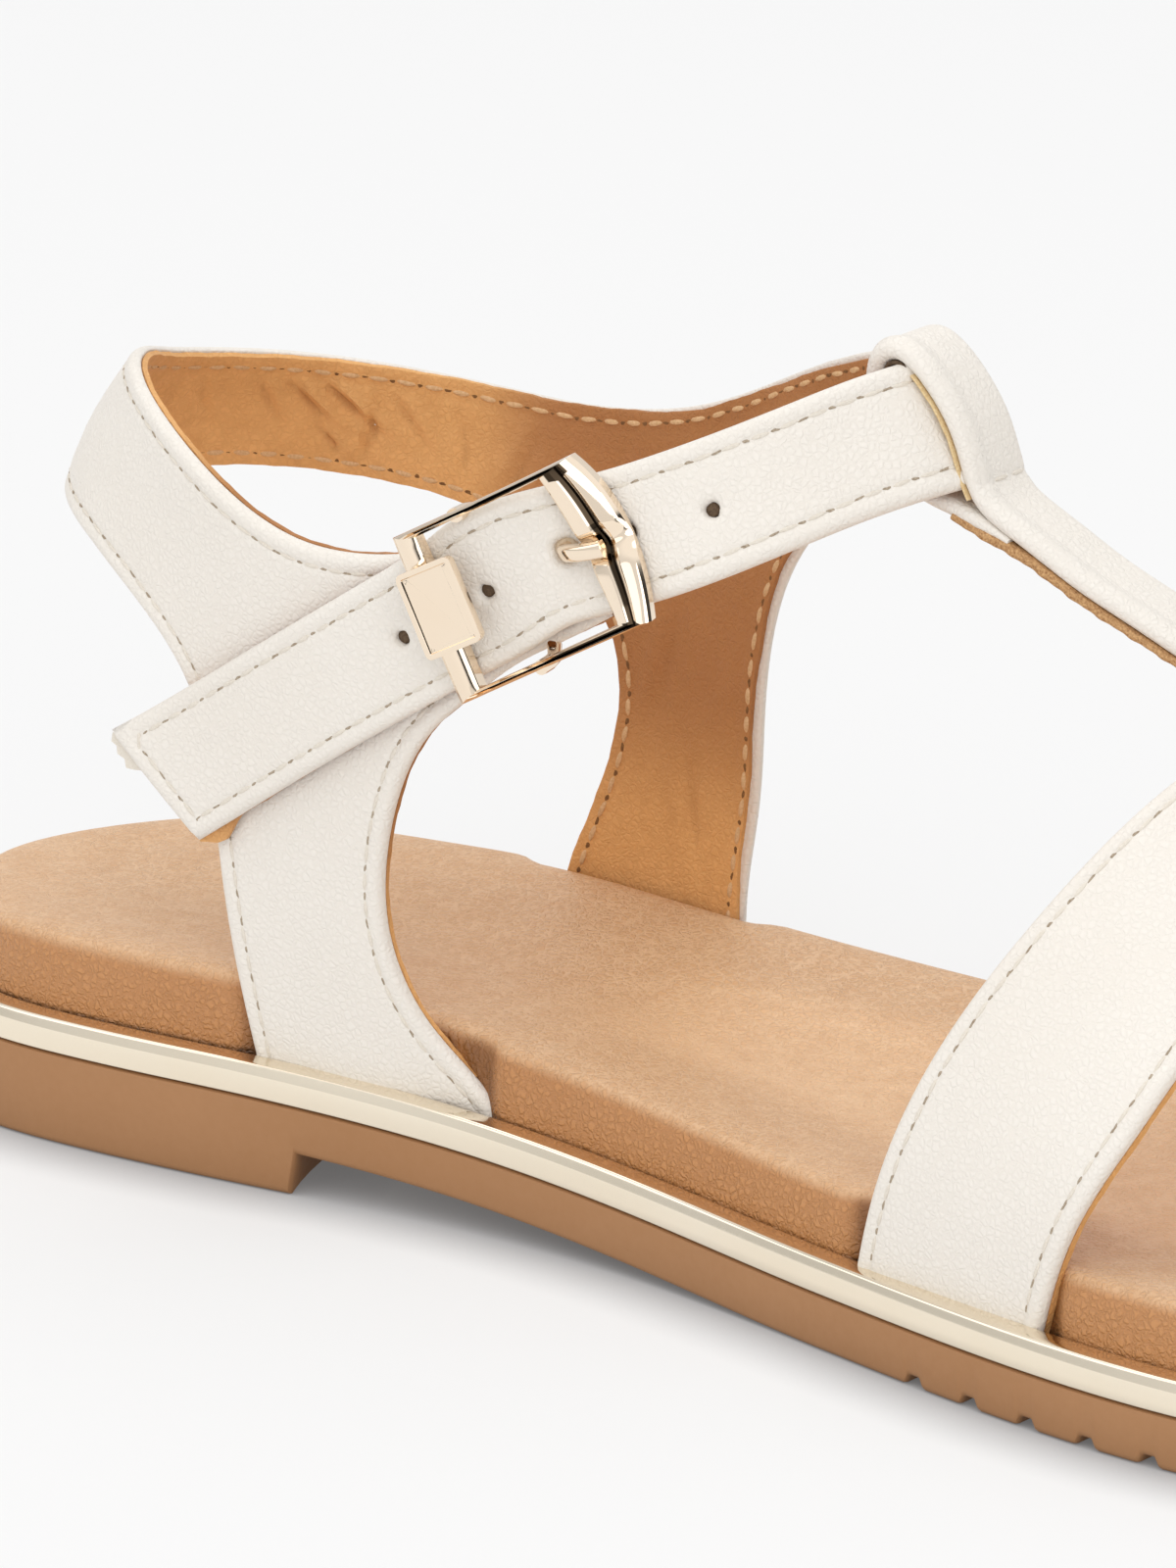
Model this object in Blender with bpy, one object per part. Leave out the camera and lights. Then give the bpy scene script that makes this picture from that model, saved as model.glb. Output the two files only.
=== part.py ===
# Flat T-bar sandal for the right foot, modelled standing empty on its sole.
# Frame: +X points to the toe, +Y to the inner (medial) side of the foot, +Z up,
# with the origin on the ground under the middle of the sole.
# Every size below is in millimetres and becomes metres where a mesh is made.
import math

import bpy
import bmesh
import numpy as np
from mathutils import Vector
from mathutils.geometry import delaunay_2d_cdt

MM = 0.001
GAP = 0.3                 # clearance between two pieces that meet

# Sole
SOLE_LENGTH = 256.0
FOOT_HALF_WIDTH = 30.0
HEEL_TIP_Y = 0.0          # where the outline crosses the back of the heel
TOE_TIP_Y = 8.0           # where the outline crosses the front of the toe
OUTLINE_POINTS = 88
# x along the sole, outer (lateral) edge, inner (medial) edge
SOLE_SECTIONS = [
    (-122.5, -15.5, 15.5),
    (-110.0, -26.4, 25.8),
    (-92.0, -29.2, 29.0),
    (-67.0, -28.0, 30.6),
    (-42.0, -26.2, 31.4),
    (-17.0, -28.0, 35.6),
    (13.0, -34.6, 40.8),
    (41.0, -40.9, 42.8),
    (67.0, -43.0, 43.0),
    (93.0, -37.5, 39.8),
    (113.0, -24.0, 32.4),
    (124.0, -7.0, 20.5),
]
HEEL_HEIGHT = 10.0        # rubber under the heel
HEEL_BREAST_X = -63.5     # front face of the heel block
HEEL_BREAST_SAG = 7.0     # how far that face curves back at the middle
HEEL_BREAST_REACH = 16.0  # over which distance that curve fades out
HEEL_BREAST_SLOPE = 0.8
ARCH_RUBBER = 5.1         # rubber thickness at the arch
FOREFOOT_RUBBER = 5.8     # rubber thickness under the ball
ARCH_START_X = -77.0      # where the top of the rubber begins to fall
ARCH_END_X = 11.0         # where the forefoot meets the ground
TOE_SPRING_X = 63.0       # where the sole begins to lift
TOE_SPRING = 7.0          # lift at the toe tip
SOLE_EDGE = 0.8           # chamfer along the ground edge
TREAD_FIRST_X = 25.5
TREAD_PITCH = 8.2
TREAD_COUNT = 9
TREAD_WIDTH = 2.4
TREAD_DEPTH = 1.1
TREAD_SLOPE = 0.3
OUTSOLE_STATIONS = 45     # cross-sections along the rubber
OUTSOLE_ACROSS = 9        # points across its underside
OUTSOLE_END = 0.12        # the first and last section stand this far inside the tips

# Gold rim between rubber and footbed: inset from the outline, height above the rubber
RIM_PROFILE = [
    (0.0, 0.3),
    (0.0, 2.8),
    (0.3, 3.75),
    (0.65, 3.98),
    (2.6, 4.0),
    (3.4, 3.7),
    (3.4, 0.3),
]

# Footbed: inset from the outline, share of the wall's height
FOOTBED_PROFILE = [
    (3.7, 0.0),
    (3.78, 0.5),
    (4.05, 0.82),
    (4.6, 0.94),
    (6.0, 0.99),
    (8.4, 1.0),
    (13.0, 0.97),
]
FOOTBED_HEEL = 11.8       # height of its edge above the rubber at the heel
FOOTBED_BALL = 10.3       # and at the ball
FOOTBED_DISH = 1.6        # how far the middle lies below the edge
FOOTBED_CORE = 0.5        # share of the width of the dished middle
FOOTBED_CORE_LENGTH = 0.85        # and of its length
ARCH_PAD = 1.9            # extra height along the inner edge of heel and arch
ARCH_PAD_X = -50.0
ARCH_PAD_REACH = 52.0
HEEL_DROP = 1.1           # how far the edge falls to the back of the heel
HEEL_DROP_START_X = -98.0
HEEL_DROP_END_X = -126.0

# Straps
STRAP_WALL = 2.0          # thickness of the quarters, heel band and ankle strap
STRAP_WIDTH = 14.4
TOE_WALL = 2.2
TOE_ROWS = 27             # rows of points along the toe strap
TOE_ACROSS = 5            # and across it
TBAR_ROWS = 40
TBAR_ACROSS = 4
SHEET_GRID = 6.0          # spacing of points inside a strap
EDGE_STEP = 4.0           # spacing of points along a strap's edge
HOLE_RADIUS = 0.85        # spare holes of the strap
PRONG_HOLE_RADIUS = 1.6   # the one that the prong has widened
HOLE_SIDES = 12

# Ankle surface on which heel band, quarters and ankle strap lie, as seen in plan.
# x, y at the given height; lean is in degrees, positive where it spreads downwards
ANKLE_RING = [
    (-108.0, 1.0, 66.0, 20.0),    # back of the heel
    (-99.0, 18.0, 66.0, 18.0),
    (-73.5, 27.2, 55.0, -2.0),    # inner side
    (-55.0, 27.8, 50.0, -2.0),
    (-38.0, 26.6, 60.0, 0.5),
    (-21.0, 23.4, 79.0, 13.0),
    (-1.5, 13.5, 85.0, 27.0),
    (5.0, 1.0, 88.0, 32.0),       # front, over the instep
    (-2.5, -11.5, 85.0, 27.0),
    (-21.0, -20.0, 79.0, 13.0),
    (-36.0, -23.6, 60.0, -2.8),   # outer side
    (-56.0, -25.6, 50.0, -3.7),
    (-73.5, -25.7, 55.0, -1.6),
    (-99.5, -18.0, 66.0, 18.0),
]
# Cut of the straps on that surface: s runs from the back of the heel, positive over
# the inner side, the instep and on to the strap's tip; h is the height
QUARTER_TOP = [
    (-84.6, 77.2), (-72.5, 73.3), (-60.0, 72.6), (-41.0, 80.4), (-28.0, 84.0),
    (0.0, 80.8), (34.0, 76.4), (52.0, 74.8), (68.0, 76.9),
]
INNER_EDGE = [
    (51.0, 10.7), (53.6, 23.0), (58.7, 37.0), (58.4, 49.2), (48.5, 58.3),
    (28.8, 63.5), (0.0, 66.3), (-20.0, 67.2), (-33.0, 63.1), (-43.6, 54.0),
    (-47.2, 37.0), (-49.2, 22.4), (-51.8, 10.7),
]
OUTER_LEG_FRONT = [
    (-83.2, 9.6), (-81.8, 12.6), (-79.1, 15.1), (-73.3, 20.9), (-69.0, 30.7),
    (-69.8, 42.0), (-75.8, 54.3), (-81.0, 59.0), (-89.4, 68.4),
]
INNER_LEG_FRONT = [
    (77.4, 9.9), (76.8, 23.4), (78.3, 34.4), (79.0, 47.0), (83.0, 61.5), (89.0, 69.0),
]
STRAP_LINE = [
    (80.0, 75.0), (97.0, 81.2), (116.0, 87.2), (135.5, 90.6), (149.5, 88.3),
    (172.0, 78.8), (182.2, 73.6), (193.1, 67.2), (221.3, 48.4), (229.0, 43.0),
]
# the band bellies out behind the heel and turns in at its top
HEEL_CUP = (4.9, 7.0)     # straight and square share of the way out
HEEL_CUP_BASE = 66.0
HEEL_CUP_HEIGHT = 15.5
HEEL_CUP_REACH = 22.0
SLOT_TOP = 40.0           # height of the slots' guides
SLOT_BASE = 11.0          # the legs end below this height
SLOT_DEEPER = 1.2
SLOT_FLARE = 1.0          # extra width of a slot at its bottom, on either side
LEG_MIDDLE = 65.5         # distance from the back of the heel to the middle of a leg
STRAP_TIP = (2.0, -0.6)   # how far the upper and lower corners of the tip stand out
STRAP_TOP_FROM = 0.02     # share of the strap's run where its upper edge takes over
STRAP_LOW_FROM = 0.14     # and its lower edge
STRAP_LIFT = 2.5          # how far the free end lies outside the outer quarter
STRAP_LIFT_START = 140.0
STRAP_LIFT_END = 166.0
HOLE_STEPS = (-19.0, -8.7, 9.0, 20.4)      # ways along the strap from the buckle's origin
HOLE_RISE = 0.5           # how far they lie above its middle
FASTENED_S = 179.0        # the buckle's origin on the cut
FASTENED_H = 75.4

# Toe strap over the ball: rear edge x, y, z and front edge x, y, z
TOE_STRAP = [
    (14.0, -31.5, 6.9, 40.4, -36.5, 6.7),     # outer end, inside the rim
    (17.4, -32.5, 18.8, 44.3, -37.0, 19.0),
    (23.1, -30.5, 33.2, 50.1, -33.5, 31.0),
    (31.0, -23.0, 48.2, 53.8, -24.0, 41.5),
    (37.0, -10.0, 59.2, 58.3, -10.0, 50.0),
    (39.5, 2.0, 62.2, 59.5, 3.0, 52.4),       # middle
    (40.0, 14.0, 59.0, 60.5, 16.0, 49.6),
    (38.0, 26.5, 48.5, 60.0, 29.5, 40.5),
    (34.5, 34.5, 33.0, 57.5, 38.0, 29.0),
    (31.5, 36.6, 18.8, 55.0, 39.6, 18.0),
    (30.5, 36.2, 6.8, 54.0, 39.3, 6.8),       # inner end, inside the rim
]
# Bar of the T from the toe strap up the instep, over the ankle strap and back under:
# x, z, y of its middle, width, thickness
TBAR_LINE = [
    (50.0, 57.0, 6.5, 8.6, 1.4),      # inside the toe strap
    (45.0, 59.6, 6.5, 8.6, 1.4),
    (40.5, 63.2, 6.3, 8.6, 1.8),
    (36.0, 66.9, 5.8, 8.7, 2.2),
    (31.0, 69.95, 4.8, 8.9, 2.6),
    (25.2, 73.15, 3.4, 9.0, 2.8),
    (20.0, 75.95, 2.2, 9.0, 2.8),
    (15.0, 79.05, 1.3, 9.0, 2.8),
    (11.4, 81.2, 0.8, 9.0, 2.8),
    (8.9, 83.2, 0.7, 9.0, 2.4),
    (7.5, 85.8, 0.7, 9.0, 2.2),
    (6.4, 88.8, 0.7, 9.0, 2.2),
    (4.8, 91.9, 0.7, 9.0, 2.2),
    (2.5, 94.8, 0.7, 9.0, 2.2),
    (0.0, 97.0, 0.7, 9.0, 2.2),
    (-2.3, 97.8, 0.7, 9.0, 2.2),      # top of the loop
    (-4.2, 96.9, 0.7, 9.0, 2.2),
    (-5.0, 94.5, 0.7, 9.0, 2.2),
    (-4.7, 91.0, 0.7, 9.0, 2.2),
    (-3.3, 87.4, 0.7, 9.0, 2.2),
    (-1.0, 84.7, 0.7, 9.0, 2.2),
    (1.8, 83.1, 0.7, 9.0, 2.0),
    (5.0, 82.2, 0.7, 9.0, 1.8),
    (8.0, 81.3, 0.7, 9.0, 1.6),
    (10.8, 80.3, 0.7, 9.0, 1.4),      # end of the loop, inside the bar
]

# Buckle, in its own directions: d along the strap towards its tip, w across it and
# o outwards from the middle of the strap
BUCKLE_TURN = -28.8       # degrees that the strap falls towards its tip
FRAME_TIP_BAR = (12.3, 15.1)      # inner and outer d of the bar nearest the tip
FRAME_SKEW = -0.136               # change of that d with w
FRAME_ARCH_BAR = (-3.6, -7.5)     # inner and outer d of the arched bar at its ends
FRAME_ARCH = (0.0, 1.7)           # how far that bar bows out, inside and outside
FRAME_RAIL = (8.5, 9.3)           # inner and outer w of the side rails
FRAME_LEVEL = (1.5, 3.7)          # underside and top
# section of the frame: share of the bar's width, share of its height
FRAME_SECTION = [(0.0, 0.0), (0.0, 0.7), (0.3, 1.0), (0.72, 1.0), (1.0, 0.65), (1.0, 0.0)]
FRAME_BAR_POINTS = 9
FRAME_RAIL_POINTS = 10
FRAME_ARCH_POINTS = 17
FRAME_NOTCH = 1.0                 # depth of the rest for the prong
FRAME_NOTCH_WIDTH = 1.6
CENTRE_BAR_D = 4.2
CENTRE_BAR_RADIUS = 1.0
CENTRE_BAR_SIDES = 8
# w and o of the centre bar, from a rail to the middle under the strap
CENTRE_BAR_LINE = [(8.75, 2.5), (8.75, 0.3), (8.7, -1.15), (7.7, -2.15), (6.4, -2.35), (0.0, -2.35)]
PRONG_RADIUS = 1.0
PRONG_SIDES = 10
PRONG_STEP = 0.9
PRONG_HOLE = (-1.15, 0.9)         # d and w where it passes through the strap
# d, o and w of the prong, from the centre bar through the hole to the arched bar
PRONG_LINE = [
    (2.8, -2.4, 0.9), (1.0, -2.35, 0.9), (-0.4, -1.7, 0.9), (-1.0, -0.6, 0.9), (-1.2, 0.9, 0.9),
    (-1.7, 2.2, 0.8), (-2.9, 3.3, 0.55), (-4.7, 3.95, 0.15), (-7.0, 4.1, -0.3),
]
PLATE_D = (8.4, 15.5)             # bare plate on the bar nearest the tip
PLATE_W = (-3.83, 5.57)
PLATE_SKEW = -0.15                # change of its d with w
PLATE_O = (3.9, 4.8)
PLATE_EDGE = 0.5

# Materials: colour, roughness, metallic
MATERIALS = {
    "rubber": ((0.41, 0.20, 0.09), 0.55, 0.0),
    "gold_rim": ((0.83, 0.74, 0.60), 0.12, 1.0),
    "tan_leather": ((0.58, 0.31, 0.15), 0.5, 0.0),
    "cream_leather": ((0.84, 0.78, 0.70), 0.45, 0.0),
    "gold_metal": ((0.90, 0.77, 0.58), 0.08, 1.0),
}


def curve_through(rows, closed=False):
    # cubic curve through rows of numbers, by distance along its first two columns
    v = np.array(rows, float)
    if closed:
        v = np.vstack([v, v[:1]])
    t = np.r_[0.0, np.cumsum(np.hypot(*np.diff(v[:, :2], axis=0).T))]
    h = np.diff(t)
    slope = np.diff(v, axis=0) / h[:, None]
    n = len(t)
    a = np.eye(n)
    b = np.zeros_like(v)
    for i in range(1, n - 1):
        a[i, i - 1:i + 2] = h[i - 1], 2 * (h[i - 1] + h[i]), h[i]
        b[i] = 6 * (slope[i] - slope[i - 1])
    if closed:
        a[0, -1] = -1.0
        a[-1] = 0.0
        a[-1, [0, 1, n - 2]] = 2 * (h[-1] + h[0]), h[0], h[-1]
        b[-1] = 6 * (slope[0] - slope[-1])
    m = np.linalg.solve(a, b)

    def at(q):
        q = np.asarray(q, float)
        q = q % t[-1] if closed else q
        i = np.clip(np.searchsorted(t, q, side="right") - 1, 0, n - 2)
        left = ((t[i + 1] - q) / h[i])[..., None]
        right = 1 - left
        bend = (left ** 3 - left) * m[i] + (right ** 3 - right) * m[i + 1]
        return left * v[i] + right * v[i + 1] + bend * (h[i] ** 2)[..., None] / 6

    return at, t[-1]


def samples(rows, step=EDGE_STEP):
    at, length = curve_through(rows)
    count = max(2, int(round(length / step)) + 1)
    return at(np.linspace(0.0, length, count))


def straight(start, end, step=EDGE_STEP):
    # points between two corners, without the corners
    start, end = np.array(start), np.array(end)
    count = max(1, int(round(np.linalg.norm(end - start) / step)))
    return start + (end - start) * np.linspace(0.0, 1.0, count + 1)[1:-1, None]


def smooth_step(x, start, end):
    t = np.clip((np.asarray(x, float) - start) / (end - start), 0.0, 1.0)
    return t * t * (3 - 2 * t)


# Sole outline and heights

def sole_outline():
    lateral = [(x, out) for x, out, inn in SOLE_SECTIONS]
    medial = [(x, inn) for x, out, inn in reversed(SOLE_SECTIONS)]
    heel = [(-SOLE_LENGTH / 2, HEEL_TIP_Y)]
    toe = [(SOLE_LENGTH / 2, TOE_TIP_Y)]
    at, length = curve_through(heel + lateral + toe + medial, closed=True)
    dense = at(np.linspace(0.0, length, 2001)[:-1])
    walk = np.r_[0.0, np.cumsum(np.hypot(*np.diff(np.vstack([dense, dense[:1]]), axis=0).T))]
    even = np.linspace(0.0, walk[-1], OUTLINE_POINTS + 1)[:-1]
    params = np.interp(even, walk, np.linspace(0.0, length, 2001))
    return at(params), dense


OUTLINE, OUTLINE_DENSE = sole_outline()


def inset(points, distance):
    # the outline moved inwards; it runs anticlockwise, lateral side first
    ahead = np.roll(points, -1, axis=0) - np.roll(points, 1, axis=0)
    normal = np.stack([-ahead[:, 1], ahead[:, 0]], 1)
    return points + distance * normal / np.linalg.norm(normal, axis=1)[:, None]


def edge_y(x):
    # lateral and medial edge of the sole at x
    tip = int(np.argmax(OUTLINE_DENSE[:, 0]))
    tail = int(np.argmin(OUTLINE_DENSE[:, 0]))
    ring = np.roll(OUTLINE_DENSE, -tail, axis=0)
    tip = (tip - tail) % len(ring)
    lateral, medial = ring[:tip + 1], ring[tip:][::-1]
    return np.interp(x, lateral[:, 0], lateral[:, 1]), np.interp(x, medial[:, 0], medial[:, 1])


def toe_lift(x):
    reach = np.clip((np.asarray(x, float) - TOE_SPRING_X) / (SOLE_LENGTH / 2 - TOE_SPRING_X), 0, 1)
    return TOE_SPRING * reach ** 2


def rubber_top(x):
    fall = smooth_step(x, ARCH_START_X, ARCH_END_X)
    return HEEL_HEIGHT + (FOREFOOT_RUBBER - HEEL_HEIGHT) * fall + toe_lift(x)


def rubber_bottom(x):
    if x <= HEEL_BREAST_X:
        return 0.0
    grow = smooth_step(x, HEEL_BREAST_X, ARCH_END_X)
    thick = ARCH_RUBBER + (FOREFOOT_RUBBER - ARCH_RUBBER) * grow
    return float(rubber_top(x) - thick)


def footbed_height(x, y):
    edge = FOOTBED_HEEL + (FOOTBED_BALL - FOOTBED_HEEL) * smooth_step(x, ARCH_START_X, ARCH_END_X)
    pad = math.exp(-((x - ARCH_PAD_X) / ARCH_PAD_REACH) ** 2)
    drop = HEEL_DROP * smooth_step(-x, -HEEL_DROP_START_X, -HEEL_DROP_END_X)
    return edge - drop + ARCH_PAD * pad * max(0.0, y) / FOOT_HALF_WIDTH


# Mesh helpers

def add_object(name, mesh_data, material):
    mesh = bpy.data.meshes.new(name)
    mesh_data.to_mesh(mesh)
    mesh_data.free()
    mesh.materials.append(material)
    obj = bpy.data.objects.new(name, mesh)
    bpy.context.scene.collection.objects.link(obj)
    return obj


def finish(bm, smooth_angle=math.radians(35)):
    bmesh.ops.recalc_face_normals(bm, faces=bm.faces)
    for face in bm.faces:
        face.smooth = True
    for edge in bm.edges:
        if len(edge.link_faces) == 2 and edge.calc_face_angle(0.0) > smooth_angle:
            edge.smooth = False
    return bm


def add_ring(bm, points):
    return [bm.verts.new(Vector(p) * MM) for p in points]


def bridge(bm, first, second, closed=True):
    count = len(first)
    for i in range(count if closed else count - 1):
        j = (i + 1) % count
        bm.faces.new((first[i], first[j], second[j], second[i]))


def make_material(name):
    colour, roughness, metallic = MATERIALS[name]
    material = bpy.data.materials.new(name)
    material.use_nodes = True
    shader = material.node_tree.nodes["Principled BSDF"]
    shader.inputs["Base Color"].default_value = (*colour, 1.0)
    shader.inputs["Roughness"].default_value = roughness
    shader.inputs["Metallic"].default_value = metallic
    material.diffuse_color = (*colour, 1.0)
    return material


# Outsole with heel block, arch, toe spring and cross grooves

def outsole_stations():
    # x and ground-side height of each cross-section
    half = SOLE_LENGTH / 2
    swing = np.linspace(0.0, math.pi, OUTSOLE_STATIONS)
    rows = [(x, rubber_bottom(x)) for x in -(half - OUTSOLE_END) * np.cos(swing)]
    grooves = [TREAD_FIRST_X + i * TREAD_PITCH for i in range(TREAD_COUNT)]
    near = [HEEL_BREAST_X] + grooves
    clear = TREAD_WIDTH / 2 + HEEL_BREAST_SLOPE
    rows = [row for row in rows if min(abs(row[0] - g) for g in near) > clear]
    step_up = rubber_bottom(HEEL_BREAST_X + HEEL_BREAST_SLOPE)
    rows += [(HEEL_BREAST_X, 0.0), (HEEL_BREAST_X + HEEL_BREAST_SLOPE, step_up)]
    for g in grooves:
        for side in (-1, 1):
            edge = g + side * TREAD_WIDTH / 2
            for part, depth in ((side, 0.0), (-side, TREAD_DEPTH)):
                x = edge + part * TREAD_SLOPE / 2
                rows.append((x, rubber_bottom(x) + depth))
    return sorted(rows)


def make_outsole(material):
    bm = bmesh.new()
    across = np.linspace(-1.0, 1.0, OUTSOLE_ACROSS)
    rings = []
    for x, low in outsole_stations():
        out, inn = edge_y(x)
        top = float(rubber_top(x))
        width = inn - out
        edge = min(SOLE_EDGE, width / 5)
        sag = HEEL_BREAST_SAG * math.exp(-((x - HEEL_BREAST_X) / HEEL_BREAST_REACH) ** 2)
        ring = []
        for t in across:
            y = (out + inn) / 2 + t * (width / 2 - edge)
            ring.append((x - sag * (1 - t * t), y, low))
        ring += [(x, inn, low + edge), (x, inn, top), (x, out, top), (x, out, low + edge)]
        rings.append(add_ring(bm, ring))
    for first, second in zip(rings, rings[1:]):
        bridge(bm, first, second)
    bm.faces.new(rings[0])
    bm.faces.new(rings[-1])
    return add_object("outsole", finish(bm), material)


# Gold rim

def make_rim(material):
    bm = bmesh.new()
    rings = []
    for inward, height in RIM_PROFILE:
        plan = inset(OUTLINE, inward)
        rings.append(add_ring(bm, [(x, y, rubber_top(x) + height) for x, y in plan]))
    for first, second in zip(rings, rings[1:] + rings[:1]):
        bridge(bm, first, second)
    return add_object("rim", finish(bm), material)


# Padded footbed

def make_footbed(material):
    bm = bmesh.new()
    rings = []
    for inward, share in FOOTBED_PROFILE:
        plan = inset(OUTLINE, inward)
        rings.append([(x, y, rubber_top(x) + GAP + share * footbed_height(x, y)) for x, y in plan])
    core = []
    for x, y, z in rings[-1]:
        inner_x = x * FOOTBED_CORE_LENGTH
        middle = sum(edge_y(inner_x)) / 2
        inner_y = middle + FOOTBED_CORE * (y - sum(edge_y(x)) / 2)
        height = rubber_top(inner_x) + GAP + footbed_height(inner_x, inner_y) - FOOTBED_DISH
        core.append((inner_x, inner_y, height))
    rings = [add_ring(bm, ring) for ring in rings + [core]]
    for first, second in zip(rings, rings[1:]):
        bridge(bm, first, second)
    for ring in (rings[0], rings[-1]):
        edges = [bm.edges.get((a, b)) for a, b in zip(ring, ring[1:] + ring[:1])]
        bmesh.ops.triangle_fill(bm, edges=edges, use_beauty=True)
    return add_object("footbed", finish(bm), material)


# Ankle surface

RING_AT, RING_LENGTH = curve_through(ANKLE_RING, closed=True)


def heel_cup(s, h):
    s = (s + RING_LENGTH / 2) % RING_LENGTH - RING_LENGTH / 2
    rise = np.maximum(0.0, (h - HEEL_CUP_BASE) / HEEL_CUP_HEIGHT)
    return np.exp(-(s / HEEL_CUP_REACH) ** 2) * (HEEL_CUP[0] * rise - HEEL_CUP[1] * rise ** 2)


def ankle_point(s, h, out=0.0):
    # point of the ankle surface, moved "out" along the normal of its plan
    s, h = np.asarray(s, float), np.asarray(h, float)
    x, y, height, lean = np.moveaxis(RING_AT(s), -1, 0)
    ahead = RING_AT(s + 0.5) - RING_AT(s - 0.5)
    length = np.hypot(ahead[..., 0], ahead[..., 1])
    reach = np.tan(np.radians(lean)) * (height - h) + heel_cup(s, h) + out
    return np.stack([x - ahead[..., 1] / length * reach,
                     y + ahead[..., 0] / length * reach, h + 0 * reach], -1)


def strap_lift(s):
    return STRAP_LIFT * smooth_step(s, STRAP_LIFT_START, STRAP_LIFT_END)


def ankle_sheet(pattern):
    return ankle_point(pattern[:, 0], pattern[:, 1], strap_lift(pattern[:, 0]))


def strap_edges():
    # upper and lower edge of the ankle strap, square to its line on the leaning surface
    at, length = curve_through(STRAP_LINE)
    run = np.linspace(0.0, length, int(round(length / EDGE_STEP)) + 1)
    line = at(run)
    ahead = at(run + 0.5) - at(run - 0.5)
    lean = np.radians(RING_AT(line[:, 0])[:, 3])
    across = np.stack([-ahead[:, 1], ahead[:, 0] * np.cos(lean)], 1)
    across /= np.hypot(ahead[:, 0], ahead[:, 1])[:, None]
    share = run / length
    upper = (line + across * STRAP_WIDTH / 2)[share > STRAP_TOP_FROM]
    lower = (line - across * STRAP_WIDTH / 2)[share > STRAP_LOW_FROM]
    upper[-1] += STRAP_TIP[0] * ahead[-1]
    lower[-1] += STRAP_TIP[1] * ahead[-1]
    return upper, lower


def ankle_outline():
    upper, lower = strap_edges()
    edges = [
        samples(QUARTER_TOP), upper, straight(upper[-1], lower[-1]), lower[::-1],
        samples(INNER_LEG_FRONT)[::-1], straight(INNER_LEG_FRONT[0], INNER_EDGE[0]),
        samples(INNER_EDGE), straight(INNER_EDGE[-1], OUTER_LEG_FRONT[0]),
        samples(OUTER_LEG_FRONT), straight(OUTER_LEG_FRONT[-1], QUARTER_TOP[0]),
    ]
    return np.vstack(edges)


def buckle_pattern(d, w):
    # place of a buckle direction on the cut of the straps
    turn = math.radians(BUCKLE_TURN)
    along = np.array([math.cos(turn), math.sin(turn)])
    across = np.array([-math.sin(turn), math.cos(turn)])
    return np.array([FASTENED_S, FASTENED_H]) + d * along + w * across


def buckle_point(d, w, o):
    s, h = buckle_pattern(d, w)
    return ankle_point(s, h, strap_lift(s) + o)


def strap_holes():
    at, length = curve_through(STRAP_LINE)
    run = np.linspace(0.0, length, 800)
    fastened = run[np.argmin(abs(at(run)[:, 0] - FASTENED_S))]
    angle = np.linspace(0.0, 2 * math.pi, HOLE_SIDES, endpoint=False)
    circle = np.stack([np.cos(angle), np.sin(angle)], 1)
    holes = [buckle_pattern(*PRONG_HOLE) + PRONG_HOLE_RADIUS * circle]
    for step in HOLE_STEPS:
        holes.append(at(fastened + step) + (0.0, HOLE_RISE) + HOLE_RADIUS * circle)
    return holes


# Flat cuts turned into bent sheets with a real thickness

def inside(polygon, points):
    a, b = polygon, np.roll(polygon, -1, axis=0)
    crossing = np.zeros(len(points), bool)
    for (ax, ay), (bx, by) in zip(a, b):
        spans = (ay > points[:, 1]) != (by > points[:, 1])
        with np.errstate(divide="ignore", invalid="ignore"):
            cut = (bx - ax) * (points[:, 1] - ay) / (by - ay) + ax
        crossing ^= spans & (points[:, 0] < cut)
    return crossing


def triangulate(outline, holes):
    low, high = outline.min(0), outline.max(0)
    grid = np.stack(np.meshgrid(np.arange(low[0], high[0], SHEET_GRID),
                                np.arange(low[1], high[1], SHEET_GRID)), -1).reshape(-1, 2)
    grid = grid[inside(outline, grid)]
    loops = [outline] + holes
    border = np.vstack(loops)
    away = np.min(np.hypot(*(grid[:, None] - border[None]).transpose(2, 0, 1)), axis=1)
    points = np.vstack([border, grid[away > 0.5 * SHEET_GRID]])
    edges = []
    start = 0
    for loop in loops:
        count = len(loop)
        edges += [(start + i, start + (i + 1) % count) for i in range(count)]
        start += count
    result = delaunay_2d_cdt([Vector(p) for p in points], edges, [], 1, 1e-5)
    flat = np.array([tuple(v) for v in result[0]])
    faces = np.array(result[2])
    middle = flat[faces].mean(axis=1)
    keep = np.ones(len(faces), bool)
    for hole in holes:
        keep &= ~inside(hole, middle)
    return flat, faces[keep]


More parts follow.
